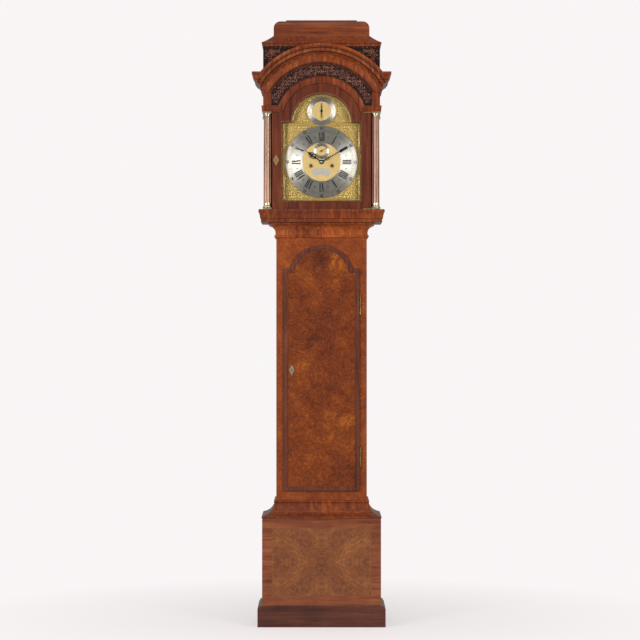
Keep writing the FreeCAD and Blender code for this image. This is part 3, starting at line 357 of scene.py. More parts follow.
def fret_ground():
    """Nearly black ground behind the frets, and plain walnut on the hood's sides."""
    material, tree, shader = new_look("walnut_frieze")
    vector = object_vector(tree)
    dark, relief = straight_figure(tree, vector, "x", FRIEZE)
    plain = straight_figure(tree, vector, "z", RED)[0]
    behind = math_node(tree, "GREATER_THAN", split(tree, vector)[1], frieze_front + 0.001)
    polish(shader, tree, mix(tree, behind, dark, plain), relief, 0.2)
    return material


def aged_oak():
    """Unpolished old oak, grey-brown and dry."""
    material, tree, shader = new_look("aged_oak", Roughness=0.75)
    tones = ((0.07, 0.040, 0.020), (0.17, 0.105, 0.055), (0.27, 0.180, 0.100))
    colour, relief = straight_figure(tree, object_vector(tree), "z", tones, 0.8)
    tree.links.new(colour, shader.inputs["Base Color"])
    bump(tree, shader, relief, 0.001, 0.4)
    return material


# ---- metals, glass and gut
def metal(name, bright, dull, roughness, cloud_scale=60.0):
    """A metal with clouds of tarnish and a fine surface."""
    material, tree, shader = new_look(name, Metallic=1.0)
    vector = object_vector(tree)
    clouds = noise(tree, vector, cloud_scale, 6.0, 0.6, 0.5)
    tree.links.new(ramp(tree, clouds, [(0.36, dull), (0.62, bright)]),
                   shader.inputs["Base Color"])
    tree.links.new(share_of(tree, clouds, 0.3, 0.7, roughness * 1.35, roughness * 0.8),
                   shader.inputs["Roughness"])
    bump(tree, shader, noise(tree, vector, 900.0, 3.0), 0.00005, 0.4)
    return material


def matted_dial():
    """Pale gilt matting inside the hour ring, and darker punched ground under the castings, partly
    painted shade between them.
    """
    material, tree, shader = new_look("matted_dial", Metallic=1.0, Roughness=0.5)
    vector = object_vector(tree)
    zones = [math_node(tree, "LESS_THAN", distance_from(tree, vector, middle), radius)
             for middle, radius in ((dial_middle, 0.0755), (strike_middle, 0.038))]
    pale = math_node(tree, "MAXIMUM", *zones)
    punched = noise(tree, vector, 2400.0, 3.0, 0.7)
    light = ramp(tree, punched, [(0.35, (0.78, 0.53, 0.20)), (0.60, (1.0, 0.76, 0.33))])
    # Partly painted shade: the ground under the castings is made darker than the matting, standing
    # in for the shade between the raised castings.
    dark = ramp(tree, punched, [(0.40, (0.20, 0.12, 0.03)), (0.62, (0.95, 0.68, 0.20))])
    tree.links.new(mix(tree, pale, dark, light), shader.inputs["Base Color"])
    bump(tree, shader, punched, 0.0004, 0.35)
    return material


def brushed_silver():
    """Silvered brass grained in circles, so that it flashes to the left and right."""
    material, tree, shader = new_look("silvered_brass", Metallic=1.0, Anisotropic=0.86)
    vector = object_vector(tree)
    clouds = noise(tree, vector, 30.0, 6.0, 0.6, 0.5)
    tree.links.new(ramp(tree, clouds, [(0.36, (0.66, 0.63, 0.53)), (0.62, (0.90, 0.86, 0.76))]),
                   shader.inputs["Base Color"])
    tree.links.new(share_of(tree, clouds, 0.3, 0.7, 0.46, 0.36), shader.inputs["Roughness"])
    shader.inputs["Anisotropic Rotation"].default_value = 0.25
    tangent = add(tree, "Tangent", direction_type="RADIAL", axis="Y")
    tree.links.new(tangent.outputs[0], shader.inputs["Tangent"])
    return material


def clear_glass():
    """Thin old glass: nearly clear, with a faint waviness in its gloss."""
    material, tree, shader = new_look("clear_glass", Base_Color=(0.02, 0.025, 0.022, 1),
                                      Roughness=0.02, Alpha=0.06)
    bump(tree, shader, noise(tree, object_vector(tree), 9.0, 2.0), 0.001, 0.15)
    material.surface_render_method = "BLENDED"
    return material


def twisted_gut():
    """Tan, slightly glossy gut line."""
    material, tree, shader = new_look("twisted_gut", Roughness=0.45)
    vector = object_vector(tree)
    tone = noise(tree, stretched(tree, vector, (900, 900, 260)), 1.0, 3.0)
    tree.links.new(ramp(tree, tone, [(0.35, (0.30, 0.19, 0.08)), (0.65, (0.56, 0.42, 0.22))]),
                   shader.inputs["Base Color"])
    bump(tree, shader, tone, 0.0003, 0.4)
    return material


# ---- every look, and where it goes
base_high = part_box("base_front_panel")[1]
skirting_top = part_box("plinth_skirting")[1][2]
BURR = ((0.026, 0.004, 0.001), (0.110, 0.019, 0.002), (0.185, 0.037, 0.004),
        (0.340, 0.100, 0.008))
PALE_BURR = ((0.035, 0.016, 0.012), (0.150, 0.045, 0.016), (0.215, 0.072, 0.022),
             (0.310, 0.130, 0.034))
MOULDING = ((0.050, 0.008, 0.002), (0.133, 0.026, 0.006), (0.240, 0.060, 0.012))
FRAME_BURR = ((0.070, 0.011, 0.002), (0.165, 0.030, 0.004), (0.235, 0.050, 0.007),
              (0.350, 0.095, 0.012))
# Trunk door moulding: walnut tones darkened partly as painted shade for the dark shadow lines
# round the door.
DOOR_SHADED_TONES = ((0.050, 0.012, 0.006), (0.105, 0.026, 0.012), (0.180, 0.050, 0.024))
THROAT_TONES = ((0.110, 0.020, 0.005), (0.260, 0.058, 0.013), (0.430, 0.125, 0.024))
ARCH_TONES = ((0.070, 0.012, 0.003), (0.165, 0.034, 0.007), (0.310, 0.085, 0.016))
DARK = ((0.035, 0.010, 0.006), (0.072, 0.020, 0.011), (0.115, 0.032, 0.016))
RED = ((0.045, 0.007, 0.003), (0.100, 0.019, 0.006), (0.170, 0.040, 0.012))
FRET = ((0.065, 0.016, 0.007), (0.120, 0.032, 0.015), (0.220, 0.078, 0.042))
FRIEZE = ((0.004, 0.002, 0.001), (0.010, 0.003, 0.002), (0.024, 0.008, 0.005))
BEAD = ((0.060, 0.018, 0.009), (0.125, 0.040, 0.020), (0.220, 0.085, 0.045))

DOOR_PATCHES = (((0.070, 1.400), 0.10, 0.09), ((0.080, 0.790), 0.12, 0.08),
                ((-0.080, 1.360), 0.08, 0.05), ((0.0, 1.420), 0.05, -0.14),
                ((0.0, 1.120), 0.10, -0.05), ((-0.095, 0.960), 0.09, 0.05))
BASE_PATCHES = (((-0.11, 0.42), 0.10, 0.05), ((0.12, 0.30), 0.09, 0.05),
                ((0.0, 0.50), 0.07, -0.08), ((0.0, 0.24), 0.07, -0.06))

looks = {
    "case_z": plain_walnut("walnut_upright", "z", RICH),
    "frame_burr": burr_veneer("burr_frame", FRAME_BURR),
    "caddy": plain_walnut("walnut_caddy", "x", MOULDING, 0.16, 0.30),
    "throat": cross_veneer("walnut_throat", 0.19, THROAT_TONES),
    "hood_dark": plain_walnut("walnut_hood", "z", RED),
    "skirting": plain_walnut("walnut_skirting", "x", DARK),
    "column": reeded_column(),
    "cross": cross_veneer("walnut_cross_moulding", 0.13, MOULDING),
    "cornice": cross_veneer("walnut_cornice", 0.21, ARCH_TONES, (0.235, 0.274, 0.291)),
    "door_burr": burr_veneer("burr_door", BURR, DOOR_PATCHES),
    "base_burr": burr_veneer("burr_base", PALE_BURR, BASE_PATCHES,
                             (base_high[0], skirting_top, base_high[2])),
    "fret": plain_walnut("walnut_fret", "x", FRET, 0.4, 0.20),
    "frieze": fret_ground(),
    "bead": plain_walnut("walnut_bead", "x", BEAD),
    "door_moulding": plain_walnut("walnut_door_moulding", "z", DOOR_SHADED_TONES, 0.8, 0.10),
    "oak": aged_oak(),
    "gilt": metal("gilt_brass", (1.0, 0.86, 0.40), (0.88, 0.62, 0.20), 0.40, 160.0),
    "brass": metal("old_brass", (0.85, 0.62, 0.28), (0.46, 0.30, 0.12), 0.30),
    "dull_brass": metal("dull_brass", (0.22, 0.14, 0.06), (0.08, 0.05, 0.03), 0.45),
    "plain_silver": metal("plain_silver", (0.78, 0.75, 0.68), (0.60, 0.58, 0.50), 0.45),
    "matted": matted_dial(),
    "silver": brushed_silver(),
    "pale_brass": metal("pale_brass", (0.86, 0.76, 0.52), (0.55, 0.46, 0.28), 0.28),
    "blued": metal("blued_steel", (0.035, 0.040, 0.070), (0.012, 0.012, 0.016), 0.28),
    "steel": metal("bright_steel", (0.62, 0.62, 0.64), (0.38, 0.37, 0.36), 0.30),
    "bell": metal("bell_metal", (0.80, 0.70, 0.48), (0.52, 0.42, 0.26), 0.28),
    "glass": clear_glass(),
    "gut": twisted_gut(),
    # Black wax for the engraving, and the same black used as painted shade inside the winding
    # holes.
    "wax_and_hole_shade": new_look("black_wax_and_hole_shade", Base_Color=(0.012, 0.011, 0.012, 1), Roughness=0.45)[0],
}

DRESS = {
    "case_z": ["trunk_sides", "base_side_panels", "hood_sides"],
    "frame_burr": ["trunk_front_frame"],
    "caddy": ["caddy_cushion_and_cap"],
    "throat": ["throat_moulding"],
    "door_moulding": ["trunk_door_moulding"],
    "hood_dark": ["hood_door_frame", "hood_mask_board"],
    "frieze": ["hood_frieze_and_roof"],
    "skirting": ["plinth_skirting"],
    "column": ["hood_columns"],
    "cross": ["base_moulding", "hood_base_frame", "hood_architrave", "caddy_flare"],
    "cornice": ["hood_cornice"],
    "door_burr": ["trunk_door_board"],
    "base_burr": ["base_front_panel"],
    "oak": ["backboard", "seatboard"],
    "gilt": ["dial_spandrels"],
    "pale_brass": ["column_mounts", "trunk_door_lock"],
    "dull_brass": ["trunk_hinge_case_leaves", "trunk_hinge_door_leaves"],
    "brass": ["hood_door_brasses", "going_great_wheel", "going_barrel", "strike_barrel",
              "centre_wheel", "third_wheel", "escape_wheel", "minute_wheel", "hour_wheel",
              "movement_plates", "movement_pillars", "back_cock", "going_pulley",
              "strike_pulley", "pendulum_bob", "going_weight", "strike_weight"],
    "matted": ["dial_plate"],
    "silver": ["chapter_ring", "silvered_rings_and_plaque"],
    "blued": ["minute_hand", "hour_hand", "seconds_hand", "strike_silent_hand"],
    "steel": ["pallet_anchor", "bell_hammer", "pendulum_rod"],
    "bell": ["bell"],
    "glass": ["hood_door_glass", "hood_side_windows"],
    "gut": ["going_gut_line", "strike_gut_line", "gut_line_tails"],
    "fret": ["hood_frets"],
}


def dress_nodes():
    """Gives every carried-over CAD node its material."""
    for look, names in DRESS.items():
        for name in names:
            for slot in nodes[name].material_slots:
                slot.material = looks[look]


# ---- camera, floor and light
WALL = (0.95, 0.915, 0.92)
FLOOR_REACH = 6.0
LENS, CAMERA_PLACE = 129.3, (-0.006, -9.0, 1.1865)
LIGHTS = (("side_left", (-2.7, -3.8, 1.8), (0, 0, 1.4), (1.2, 2.4), 128, True),
          ("side_right", (2.7, -3.8, 1.8), (0, 0, 1.4), (1.2, 2.4), 103, True),
          ("front_high", (0.2, -4.6, 4.6), (0, 0, 1.2), (3.4, 1.8), 104, False),
          ("top", (0, -0.6, 4.4), (0, 0, 2.0), (2.4, 1.2), 14, True))


def add_light(name, place, aim, size, power, glossy):
    """A soft rectangular light that looks at a point, and may stay out of reflections."""
    data = bpy.data.lights.new(name, "AREA")
    data.shape = "RECTANGLE"
    data.size, data.size_y = size
    data.energy = power
    lamp = bpy.data.objects.new(name, data)
    lamp.location = place
    lamp.visible_glossy = glossy
    lamp.rotation_euler = (Vector(aim) - Vector(place)).to_track_quat("-Z", "Y").to_euler()
    bpy.context.collection.objects.link(lamp)


def build_world():
    """White surroundings to look at, and a softer light from the sides, the top and behind."""
    world = bpy.data.worlds.new("studio")
    world.use_nodes = True
    tree = world.node_tree
    seen = tree.nodes["Background"]
    seen.inputs["Color"].default_value = (*WALL, 1)
    cast = add(tree, "Background", Color=(1, 1, 1, 1))
    y = split(tree, add(tree, "TexCoord").outputs["Generated"])[1]
    tree.links.new(share_of(tree, y, -0.95, -0.30, 0.13, 0.42), cast.inputs["Strength"])
    chooser = add(tree, "MixShader")
    path = add(tree, "LightPath")
    tree.links.new(path.outputs["Is Camera Ray"], chooser.inputs["Fac"])
    tree.links.new(cast.outputs[0], chooser.inputs[1])
    tree.links.new(seen.outputs[0], chooser.inputs[2])
    tree.links.new(chooser.outputs[0], tree.nodes["World Output"].inputs["Surface"])
    bpy.context.scene.world = world
    bpy.context.scene.view_settings.view_transform = "Standard"


def pale_floor():
    """Pale floor near the clock that fades into the white surroundings."""
    material, tree, shader = new_look("pale_floor", Roughness=0.6)
    shader.inputs["Base Color"].default_value = (0.86, 0.80, 0.79, 1)
    parts = split(tree, object_vector(tree))
    away = length_of(tree, parts[0], parts[1])
    glow = add(tree, "Emission", Color=(*WALL, 1))
    seen = add(tree, "LightPath").outputs["Is Camera Ray"]
    tree.links.new(share_of(tree, seen, 0.0, 1.0, 0.40, 1.0), glow.inputs["Strength"])
    blend = add(tree, "MixShader")
    tree.links.new(share_of(tree, away, 0.2, 1.6, 0.52, 1.0), blend.inputs["Fac"])
    tree.links.new(shader.outputs[0], blend.inputs[1])
    tree.links.new(glow.outputs[0], blend.inputs[2])
    tree.links.new(blend.outputs[0], tree.nodes["Material Output"].inputs["Surface"])
    return material


def build_stage():
    """A pale floor, white surroundings, lights, and a long lens square to the dial."""
    mesh = bpy.data.meshes.new("floor")
    corners = [(x * FLOOR_REACH, y * FLOOR_REACH, 0)
               for x, y in ((-1, -1), (1, -1), (1, 1), (-1, 1))]
    mesh.from_pydata(corners, [], [(0, 1, 2, 3)])
    floor = bpy.data.objects.new("floor", mesh)
    bpy.context.collection.objects.link(floor)
    mesh.materials.append(pale_floor())

    build_world()
    for light in LIGHTS:
        add_light(*light)

    data = bpy.data.cameras.new("camera")
    data.sensor_width = 36
    data.lens = LENS
    camera = bpy.data.objects.new("camera", data)
    camera.location = CAMERA_PLACE
    camera.rotation_euler = (math.radians(90), 0, 0)
    bpy.context.collection.objects.link(camera)
    bpy.context.scene.camera = camera


# ---- mesh helpers for the pieces
SECTION = ((-1, 0), (-0.7, 0.75), (0, 1), (0.7, 0.75), (1, 0))


def finish_piece(name, bm, body, look, replaced=(), smooth=True):
    """Turns a bmesh into a named piece that rides on a body."""
    bmesh.ops.recalc_face_normals(bm, faces=bm.faces)
    mesh = bpy.data.meshes.new(name)
    bm.to_mesh(mesh)
    bm.free()
    mesh.materials.append(looks[look])
    if smooth:
        mesh.shade_smooth()
        mesh.set_sharp_from_angle(angle=math.radians(40))
    piece = bpy.data.objects.new(name, mesh)
    bpy.context.collection.objects.link(piece)
    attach(piece, body)
    if replaced:
        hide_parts(*replaced)
    return piece


def side_normals(path, closed):
    """At each point the sideways direction, lengthened so that corners keep their width."""
    count = len(path)
    normals = []
    for i in range(count):
        before = path[i - 1] if (i or closed) else path[i]
        after = path[(i + 1) % count] if (i < count - 1 or closed) else path[i]
        units = []
        for start, end in ((before, path[i]), (path[i], after)):
            dx, dz = end[0] - start[0], end[1] - start[1]
            length = math.hypot(dx, dz)
            if length > 1e-9:
                units.append(Vector((-dz / length, dx / length)))
        total = sum(units[1:], units[0]).normalized()
        normals.append(total / max(0.4, total.dot(units[0])))
    return normals


def turns_round(steps):
    """Equal steps round a full turn."""
    return [math.tau * k / steps for k in range(steps)]


def skin(bm, rings, closed=False):
    """Joins each ring of vertices to the next, and caps the ends of a row that stays open."""
    pairs = list(zip(rings, rings[1:]))
    if closed:
        pairs.append((rings[-1], rings[0]))
    else:
        bm.faces.new(rings[0])
        bm.faces.new(rings[-1])
    count = len(rings[0])
    for first, second in pairs:
        for k in range(count):
            following = (k + 1) % count
            bm.faces.new((first[k], first[following], second[following], second[k]))


def ribbon(bm, path, widths, base_y, rise, closed=False):
    """A raised half-round bar along a path of (x, z) points on a plane that faces the front."""
    widest = max(widths)
    rings = []
    for (x, z), normal, width in zip(path, side_normals(path, closed), widths):
        rings.append([bm.verts.new((x + normal.x * width * across,
                                    base_y - rise * height * width / widest,
                                    z + normal.y * width * across))
                      for across, height in SECTION])
    skin(bm, rings, closed)


def plate(bm, corners, front_y, back_y):
    """A flat prism with the given (x, z) outline."""
    front = [bm.verts.new((x, front_y, z)) for x, z in corners]
    back = [bm.verts.new((x, back_y, z)) for x, z in corners]
    bm.faces.new(front)
    bm.faces.new(back)
    for i in range(len(corners)):
        following = (i + 1) % len(corners)
        bm.faces.new((front[i], front[following], back[following], back[i]))


def turned(bm, centre, profile, closed=False, steps=96):
    """A solid of revolution about an axis along Y; the profile holds (radius, y) points."""
    rings = []
    for radius, y in profile:
        rings.append([bm.verts.new((centre[0] + radius * math.sin(turn), y,
                                    centre[1] + radius * math.cos(turn)))
                      for turn in turns_round(steps)])
    skin(bm, rings, closed)


def annulus(bm, centre, outer, inner, front_y, back_y, bevel=0.0003):
    """A flat ring that faces the front, with eased edges."""
    turned(bm, centre, [(inner, back_y), (inner, front_y + bevel), (inner + bevel, front_y),
                        (outer - bevel, front_y), (outer, front_y + bevel),
                        (outer, back_y)], closed=True)


def polar(centre, radius, degrees, across=0.0):
    """The (x, z) point at a clockwise angle from twelve, and a distance across it."""
    turn = math.radians(degrees)
    return (centre[0] + radius * math.sin(turn) + across * math.cos(turn),
            centre[1] + radius * math.cos(turn) - across * math.sin(turn))


def on_circle(centre, radius, turn):
    """The (x, z) point at an anticlockwise turn from the right."""
    return centre[0] + radius * math.cos(turn), centre[1] + radius * math.sin(turn)


def volute(x, z, radius, start, turns, hand, steps=16):
    """Points and half widths of a scroll, from its eye to its outer end."""
    path, shares = [], []
    for k in range(steps + 1):
        share = k / steps
        turn = start + hand * math.tau * turns * (share - 1)
        reach = radius * (0.16 + 0.84 * share)
        path.append(on_circle((x, z), reach, turn))
        shares.append(1.25 if k == 0 else 0.75 + 0.25 * math.sin(math.pi * share))
    return path, shares


def leaf(x, z, heading, length, bend, steps=6):
    """Points and half widths of a curved leaf."""
    path, shares = [], []
    for k in range(steps + 1):
        share = k / steps
        path.append((x, z))
        shares.append(0.25 + 1.15 * math.sin(math.pi * min(1.0, share * 0.9 + 0.08)))
        turn = heading + bend * share
        x += length / steps * math.cos(turn)
        z += length / steps * math.sin(turn)
    return path, shares


def foliage(inside, low, high, spacing, seed):
    """Scrolls with leaves on a staggered grid wherever the ground is wide enough."""
    chance = random.Random(seed)
    strokes = []
    rows = int((high[1] - low[1]) / (spacing * 0.87)) + 2
    columns = int((high[0] - low[0]) / spacing) + 2
    for row in range(rows):
        for column in range(columns):
            x = low[0] + (column + 0.5 * (row % 2)) * spacing
            z = low[1] + row * spacing * 0.87
            start = chance.uniform(0, math.tau)
            hand = 1 if (row + column) % 2 else -1
            reach = spacing * 0.40
            rim = [on_circle((x, z), reach, k) for k in range(6)]
            if not all(inside(*point) for point in rim):
                if inside(x, z):
                    strokes.append(leaf(x, z, start, spacing * 0.3, hand))
                continue
            strokes.append(volute(x, z, reach, start, 1.15, hand))
            for k in range(3):
                heading = start + hand * (0.7 + 1.9 * k)
                foot = on_circle((x, z), reach, heading)
                strokes.append(leaf(*foot, heading + 0.9 * hand, spacing * 0.34, 1.4 * hand))
    return strokes


def carve(bm, strokes, half_width, base_y, rise, place=lambda x, z: (x, z)):
    """Adds strokes as raised ribbons, moved by place."""
    for path, shares in strokes:
        ribbon(bm, [place(*point) for point in path],
               [share * half_width for share in shares], base_y, rise)


# ---- the dial's engraving
NUMERALS = ("XII", "I", "II", "III", "IIII", "V", "VI", "VII", "VIII", "IX", "X", "XI")
THICK, THIN, SERIF = 0.0047, 0.0015, 0.0014
WIDTHS = {"I": 0.0065, "V": 0.0114, "X": 0.0118}
STEMS = {"I": ((0, 0, THICK),),
         "V": ((-0.0032, 0, THICK), (0.0038, 0.0008, THIN)),
         "X": ((-0.0033, 0.0033, THICK), (0.0038, -0.0038, THIN))}
WAX_RISE, WAX_DEPTH, STEM_PROUD = 0.00012, 0.0002, 0.00002
NUMERAL_RADII, SERIF_OVERHANG = (0.0815, 0.1155), 0.0009
MINUTE_RADII, QUARTER_RADII, SECONDS_RADII = (0.1190, 0.1235), (0.0760, 0.0793), (0.0195, 0.0220)
FIGURE_RADIUS, FIGURE_SIZE, FIGURE_BOLDNESS = 0.1310, 0.0145, 0.03
ARCH_EDGE, CASTING_GAP, CASTING_SPACING, BORDER_HALF = 0.1135, 0.0015, 0.0115, 0.0012
STRIKE_INNER, SECONDS_OUTER, SECONDS_INNER = 0.037, 0.031, 0.019


def engrave(bm, corners, front):
    """A filled engraving whose outline is the given (x, z) points."""
    plate(bm, corners, front - WAX_RISE, front + WAX_DEPTH)


def radial_mark(bm, centre, angle, radii, foot, top, half, front):
    """A straight mark between two radii, from one place across its angle to another."""
    corners = ((radii[0], foot - half), (radii[0], foot + half),
               (radii[1], top + half), (radii[1], top - half))
    engrave(bm, [polar(centre, radius, angle, across) for radius, across in corners], front)


def numeral(bm, text, hour):
    """A Roman numeral whose feet point at the dial's middle."""
    low, high = NUMERAL_RADII
    angle = 30 * hour
    x = -sum(WIDTHS[letter] for letter in text) / 2
    for letter in text:
        middle = x + WIDTHS[letter] / 2
        for top, foot, width in STEMS[letter]:
            for radius, place, drop in ((low, foot, SERIF), (high, top, -SERIF)):
                radial_mark(bm, dial_middle, angle, (radius, radius + drop), middle + place,
                            middle + place, width / 2 + SERIF_OVERHANG, ring_front)
            radial_mark(bm, dial_middle, angle, NUMERAL_RADII, middle + foot, middle + top,
                        width / 2, ring_front - STEM_PROUD)
        x += WIDTHS[letter]


def ticks(bm, centre, count, radii, width, front):
    """Radial marks round a centre."""
    for k in range(count):
        radial_mark(bm, centre, 360 * k / count, radii, 0.0, 0.0, width / 2, front)


def fine_circle(bm, centre, radius, width, front):
    """An engraved circle."""
    turned(bm, centre, [(radius - width / 2, front + WAX_DEPTH),
                        (radius - width / 2, front - WAX_RISE),
                        (radius + width / 2, front - WAX_RISE),
                        (radius + width / 2, front + WAX_DEPTH)], closed=True)


def half_hour(bm, hour):
    """A small fleur between two numerals."""
    angle, foot = 30 * hour + 15, 0.094
    for offsets in (((0, 0), (0.0011, 0.004), (0, 0.011), (-0.0011, 0.004)),
                    ((0, 0.003), (0.0034, 0.0062), (0.0030, 0.0042), (0, 0.0018)),
                    ((0, 0.003), (-0.0034, 0.0062), (-0.0030, 0.0042), (0, 0.0018))):
        engrave(bm, [polar(dial_middle, foot + up, angle, across) for across, up in offsets],
                ring_front)


def figures(name, centre, radius, size, texts, front):
    """Small Arabic figures round a ring, their feet to the middle, as one mesh."""
    bm = bmesh.new()
    for k, text in enumerate(texts):
        curve = bpy.data.curves.new(name + "_text", "FONT")
        curve.body, curve.size = text, size
        curve.align_x = curve.align_y = "CENTER"
        curve.offset = size * FIGURE_BOLDNESS
        curve.extrude, curve.resolution_u = (WAX_RISE + WAX_DEPTH) / 2, 3
        holder = bpy.data.objects.new(name + "_text", curve)
        mesh = bpy.data.meshes.new_from_object(holder)
        angle = 360 * k / len(texts)
        x, z = polar(centre, radius, angle)
        turn = Matrix.Rotation(math.radians(angle), 4, "Y") @ Matrix.Rotation(math.pi / 2, 4, "X")
        mesh.transform(Matrix.Translation((x, front, z)) @ turn)
        bm.from_mesh(mesh)
        bpy.data.objects.remove(holder)
        bpy.data.curves.remove(curve)
        bpy.data.meshes.remove(mesh)
    finish_piece(name, bm, "root", "wax_and_hole_shade", smooth=False)


def build_dial_engraving():
    """Numerals, minute marks, half-hour marks and figures on the silvered rings."""
    bm = bmesh.new()
    for hour, text in enumerate(NUMERALS):
        numeral(bm, text, hour)
        half_hour(bm, hour)
    finish_piece("hour_numerals", bm, "root", "wax_and_hole_shade", smooth=False)

    bm = bmesh.new()
    ticks(bm, dial_middle, 60, MINUTE_RADII, 0.0008, ring_front)
    ticks(bm, dial_middle, 12, MINUTE_RADII, 0.0016, ring_front)
    ticks(bm, dial_middle, 48, QUARTER_RADII, 0.0005, ring_front)
    for radius in (0.0757, 0.0796, 0.1188, 0.1237, 0.1390):
        fine_circle(bm, dial_middle, radius, 0.0004, ring_front)
    finish_piece("minute_marks", bm, "root", "wax_and_hole_shade", smooth=False)
    figures("minute_figures", dial_middle, FIGURE_RADIUS, FIGURE_SIZE,
            [str(5 * k) if k else "60" for k in range(12)], ring_front)


def plaque_edge(half, middle, sag, way):
    """One arched edge of the name plate: its half length, its middle and how far its ends drop."""
    turns = [math.radians(way * degrees) for degrees in range(-60, 61, 6)]
    return [(half * math.sin(turn) / math.sin(math.radians(60)),
             dial_middle[1] + middle - sag * (1 - math.cos(turn))) for turn in turns]


def build_name_plate(front):
    """The blank arched name plate, with an eased front edge."""
    bm = bmesh.new()
    plate(bm, plaque_edge(0.041, -0.024, 0.028, 1) + plaque_edge(0.026, -0.049, 0.016, -1),
          front, plate_front)
    rim = [edge for edge in bm.edges
           if all(vertex.co.y < plate_front - 0.0005 for vertex in edge.verts)]
    bmesh.ops.bevel(bm, geom=rim, offset=0.0003, segments=2, affect="EDGES")
    finish_piece("name_plate", bm, "root", "plain_silver")


def build_small_rings():
    """Seconds ring, strike and silent ring, name plate, and the marks on them."""
    strike_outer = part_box("silvered_rings_and_plaque")[1][0]
    small_front = plate_front - 0.0008
    for name, centre, outer, inner, front, replaced in (
            ("strike_silent_ring", strike_middle, strike_outer, STRIKE_INNER, ring_front,
             ["silvered_rings_and_plaque"]),
            ("seconds_ring", seconds_middle, SECONDS_OUTER, SECONDS_INNER, small_front, ())):
        bm = bmesh.new()
        annulus(bm, centre, outer, inner, front, plate_front)
        finish_piece(name, bm, "root", "silver", replaced)
    build_name_plate(small_front)

    bm = bmesh.new()
    ticks(bm, seconds_middle, 60, SECONDS_RADII, 0.0003, small_front)
    ticks(bm, seconds_middle, 12, (0.0195, 0.0226), 0.0007, small_front)
    for radius in (0.0222, 0.0305):
        fine_circle(bm, seconds_middle, radius, 0.0003, small_front)
    ticks(bm, strike_middle, 24, (0.0395, 0.0430), 0.0006, ring_front)
    for radius in (0.0385, 0.0440, 0.0545):
        fine_circle(bm, strike_middle, radius, 0.0004, ring_front)
    for k in range(8):
        for hand in (1, -1):
            x, z = polar(strike_middle, 0.0490, 45 * k + 5 * hand)
            strokes = [volute(x, z, 0.0030, math.radians(90 - 45 * k), 1.0, hand, 10)]
            carve(bm, strokes, 0.0005, ring_front + 0.0001, 0.0003)
    finish_piece("small_ring_marks", bm, "root", "wax_and_hole_shade", smooth=False)
    figures("seconds_figures", seconds_middle, 0.0265, 0.0062,
            ["60", "10", "20", "30", "40", "50"], small_front)


def build_spandrels():
    """Cast gilt foliage with a raised edge, in the four corners and in the arch."""
    low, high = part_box("dial_spandrels")
    rise, edge = plate_front - low[1], high[0]
    strike_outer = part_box("silvered_rings_and_plaque")[1][0]
    shoulder = dial_middle[1] + edge + 0.005
    arch_middle = (0.0, ARCH_CENTRE)

    def in_corner(x, z):
        return x < edge and z < edge and math.hypot(x, z) > ring_outer + CASTING_GAP

    def in_arch(x, z):
        if z < shoulder or math.hypot(x, z - ARCH_CENTRE) > ARCH_EDGE:
            return False
        return math.hypot(x, z - strike_middle[1]) > strike_outer + CASTING_GAP

    bm = bmesh.new()
    strokes = foliage(in_corner, (0.045, 0.045), (edge, edge), CASTING_SPACING, 3)
    for side in (1, -1):
        for up in (1, -1):
            carve(bm, strokes, 0.00115, plate_front, rise,
                  lambda x, z: (side * x, dial_middle[1] + up * z))
            border = [(side * x, dial_middle[1] + up * z)
                      for x, z in ((edge, 0.052), (edge, edge), (0.052, edge))]
            ribbon(bm, border, [BORDER_HALF] * 3, plate_front, rise * 0.8)

    strokes = foliage(in_arch, (0.006, shoulder), (ARCH_EDGE, ARCH_CENTRE + ARCH_EDGE),
                      CASTING_SPACING, 5)
    for side in (1, -1):
        carve(bm, strokes, 0.00115, plate_front, rise, lambda x, z: (side * x, z))
    rim = [on_circle(arch_middle, ARCH_EDGE, math.radians(t)) for t in range(5, 176, 3)]
    ribbon(bm, rim, [BORDER_HALF] * len(rim), plate_front, rise * 0.8)
    finish_piece("spandrel_castings", bm, "root", "gilt", ["dial_spandrels"])


def build_winding_holes():
    """Raised collars round the winding holes, and black rings in them round the squares, which are
    painted shade for the depth of the holes.
    """
    collars, hole_shade = bmesh.new(), bmesh.new()
    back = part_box("dial_plate")[1][1]
    x, z = pivot("great_wheel_spin")
    for side in (1, -1):
        centre = (side * x, z)
        for radius in (0.0070, 0.0092):
            turned(collars, centre, [(radius - 0.0004, plate_front),
                                     (radius, plate_front - 0.0004),
                                     (radius + 0.0004, plate_front)], closed=True, steps=48)
        # Painted shade: a black ring set inside each hole stands for the shade in its depth.
        annulus(hole_shade, centre, 0.0064, 0.0012, back - 0.0015, back - 0.0009, 0.0001)
    finish_piece("winding_collars", collars, "root", "brass")
    finish_piece("winding_hole_shade", hole_shade, "root", "wax_and_hole_shade")


# ---- hands
HAND_THICKNESS = 0.0012


def hand_piece(name, body, node, degrees, front, rows, loops, boss, bore):
    """A pierced hand: tapered bars and loops in its own (across, along) frame."""
    bm = bmesh.new()
    back = front + HAND_THICKNESS

    def placed(points):
        return [polar(dial_middle, along, degrees, across) for across, along in points]

    for points, widths in rows:
        ribbon(bm, placed(points), widths, back, HAND_THICKNESS)
    for across, along, half_x, half_z, width in loops:
        ring = [(across + half_x * math.cos(t), along + half_z * math.sin(t))
                for t in turns_round(24)]
        ribbon(bm, placed(ring), [width] * len(ring), back, HAND_THICKNESS, closed=True)
    annulus(bm, dial_middle, boss, bore, front, back)
    finish_piece(name, bm, body, "blued", [node])


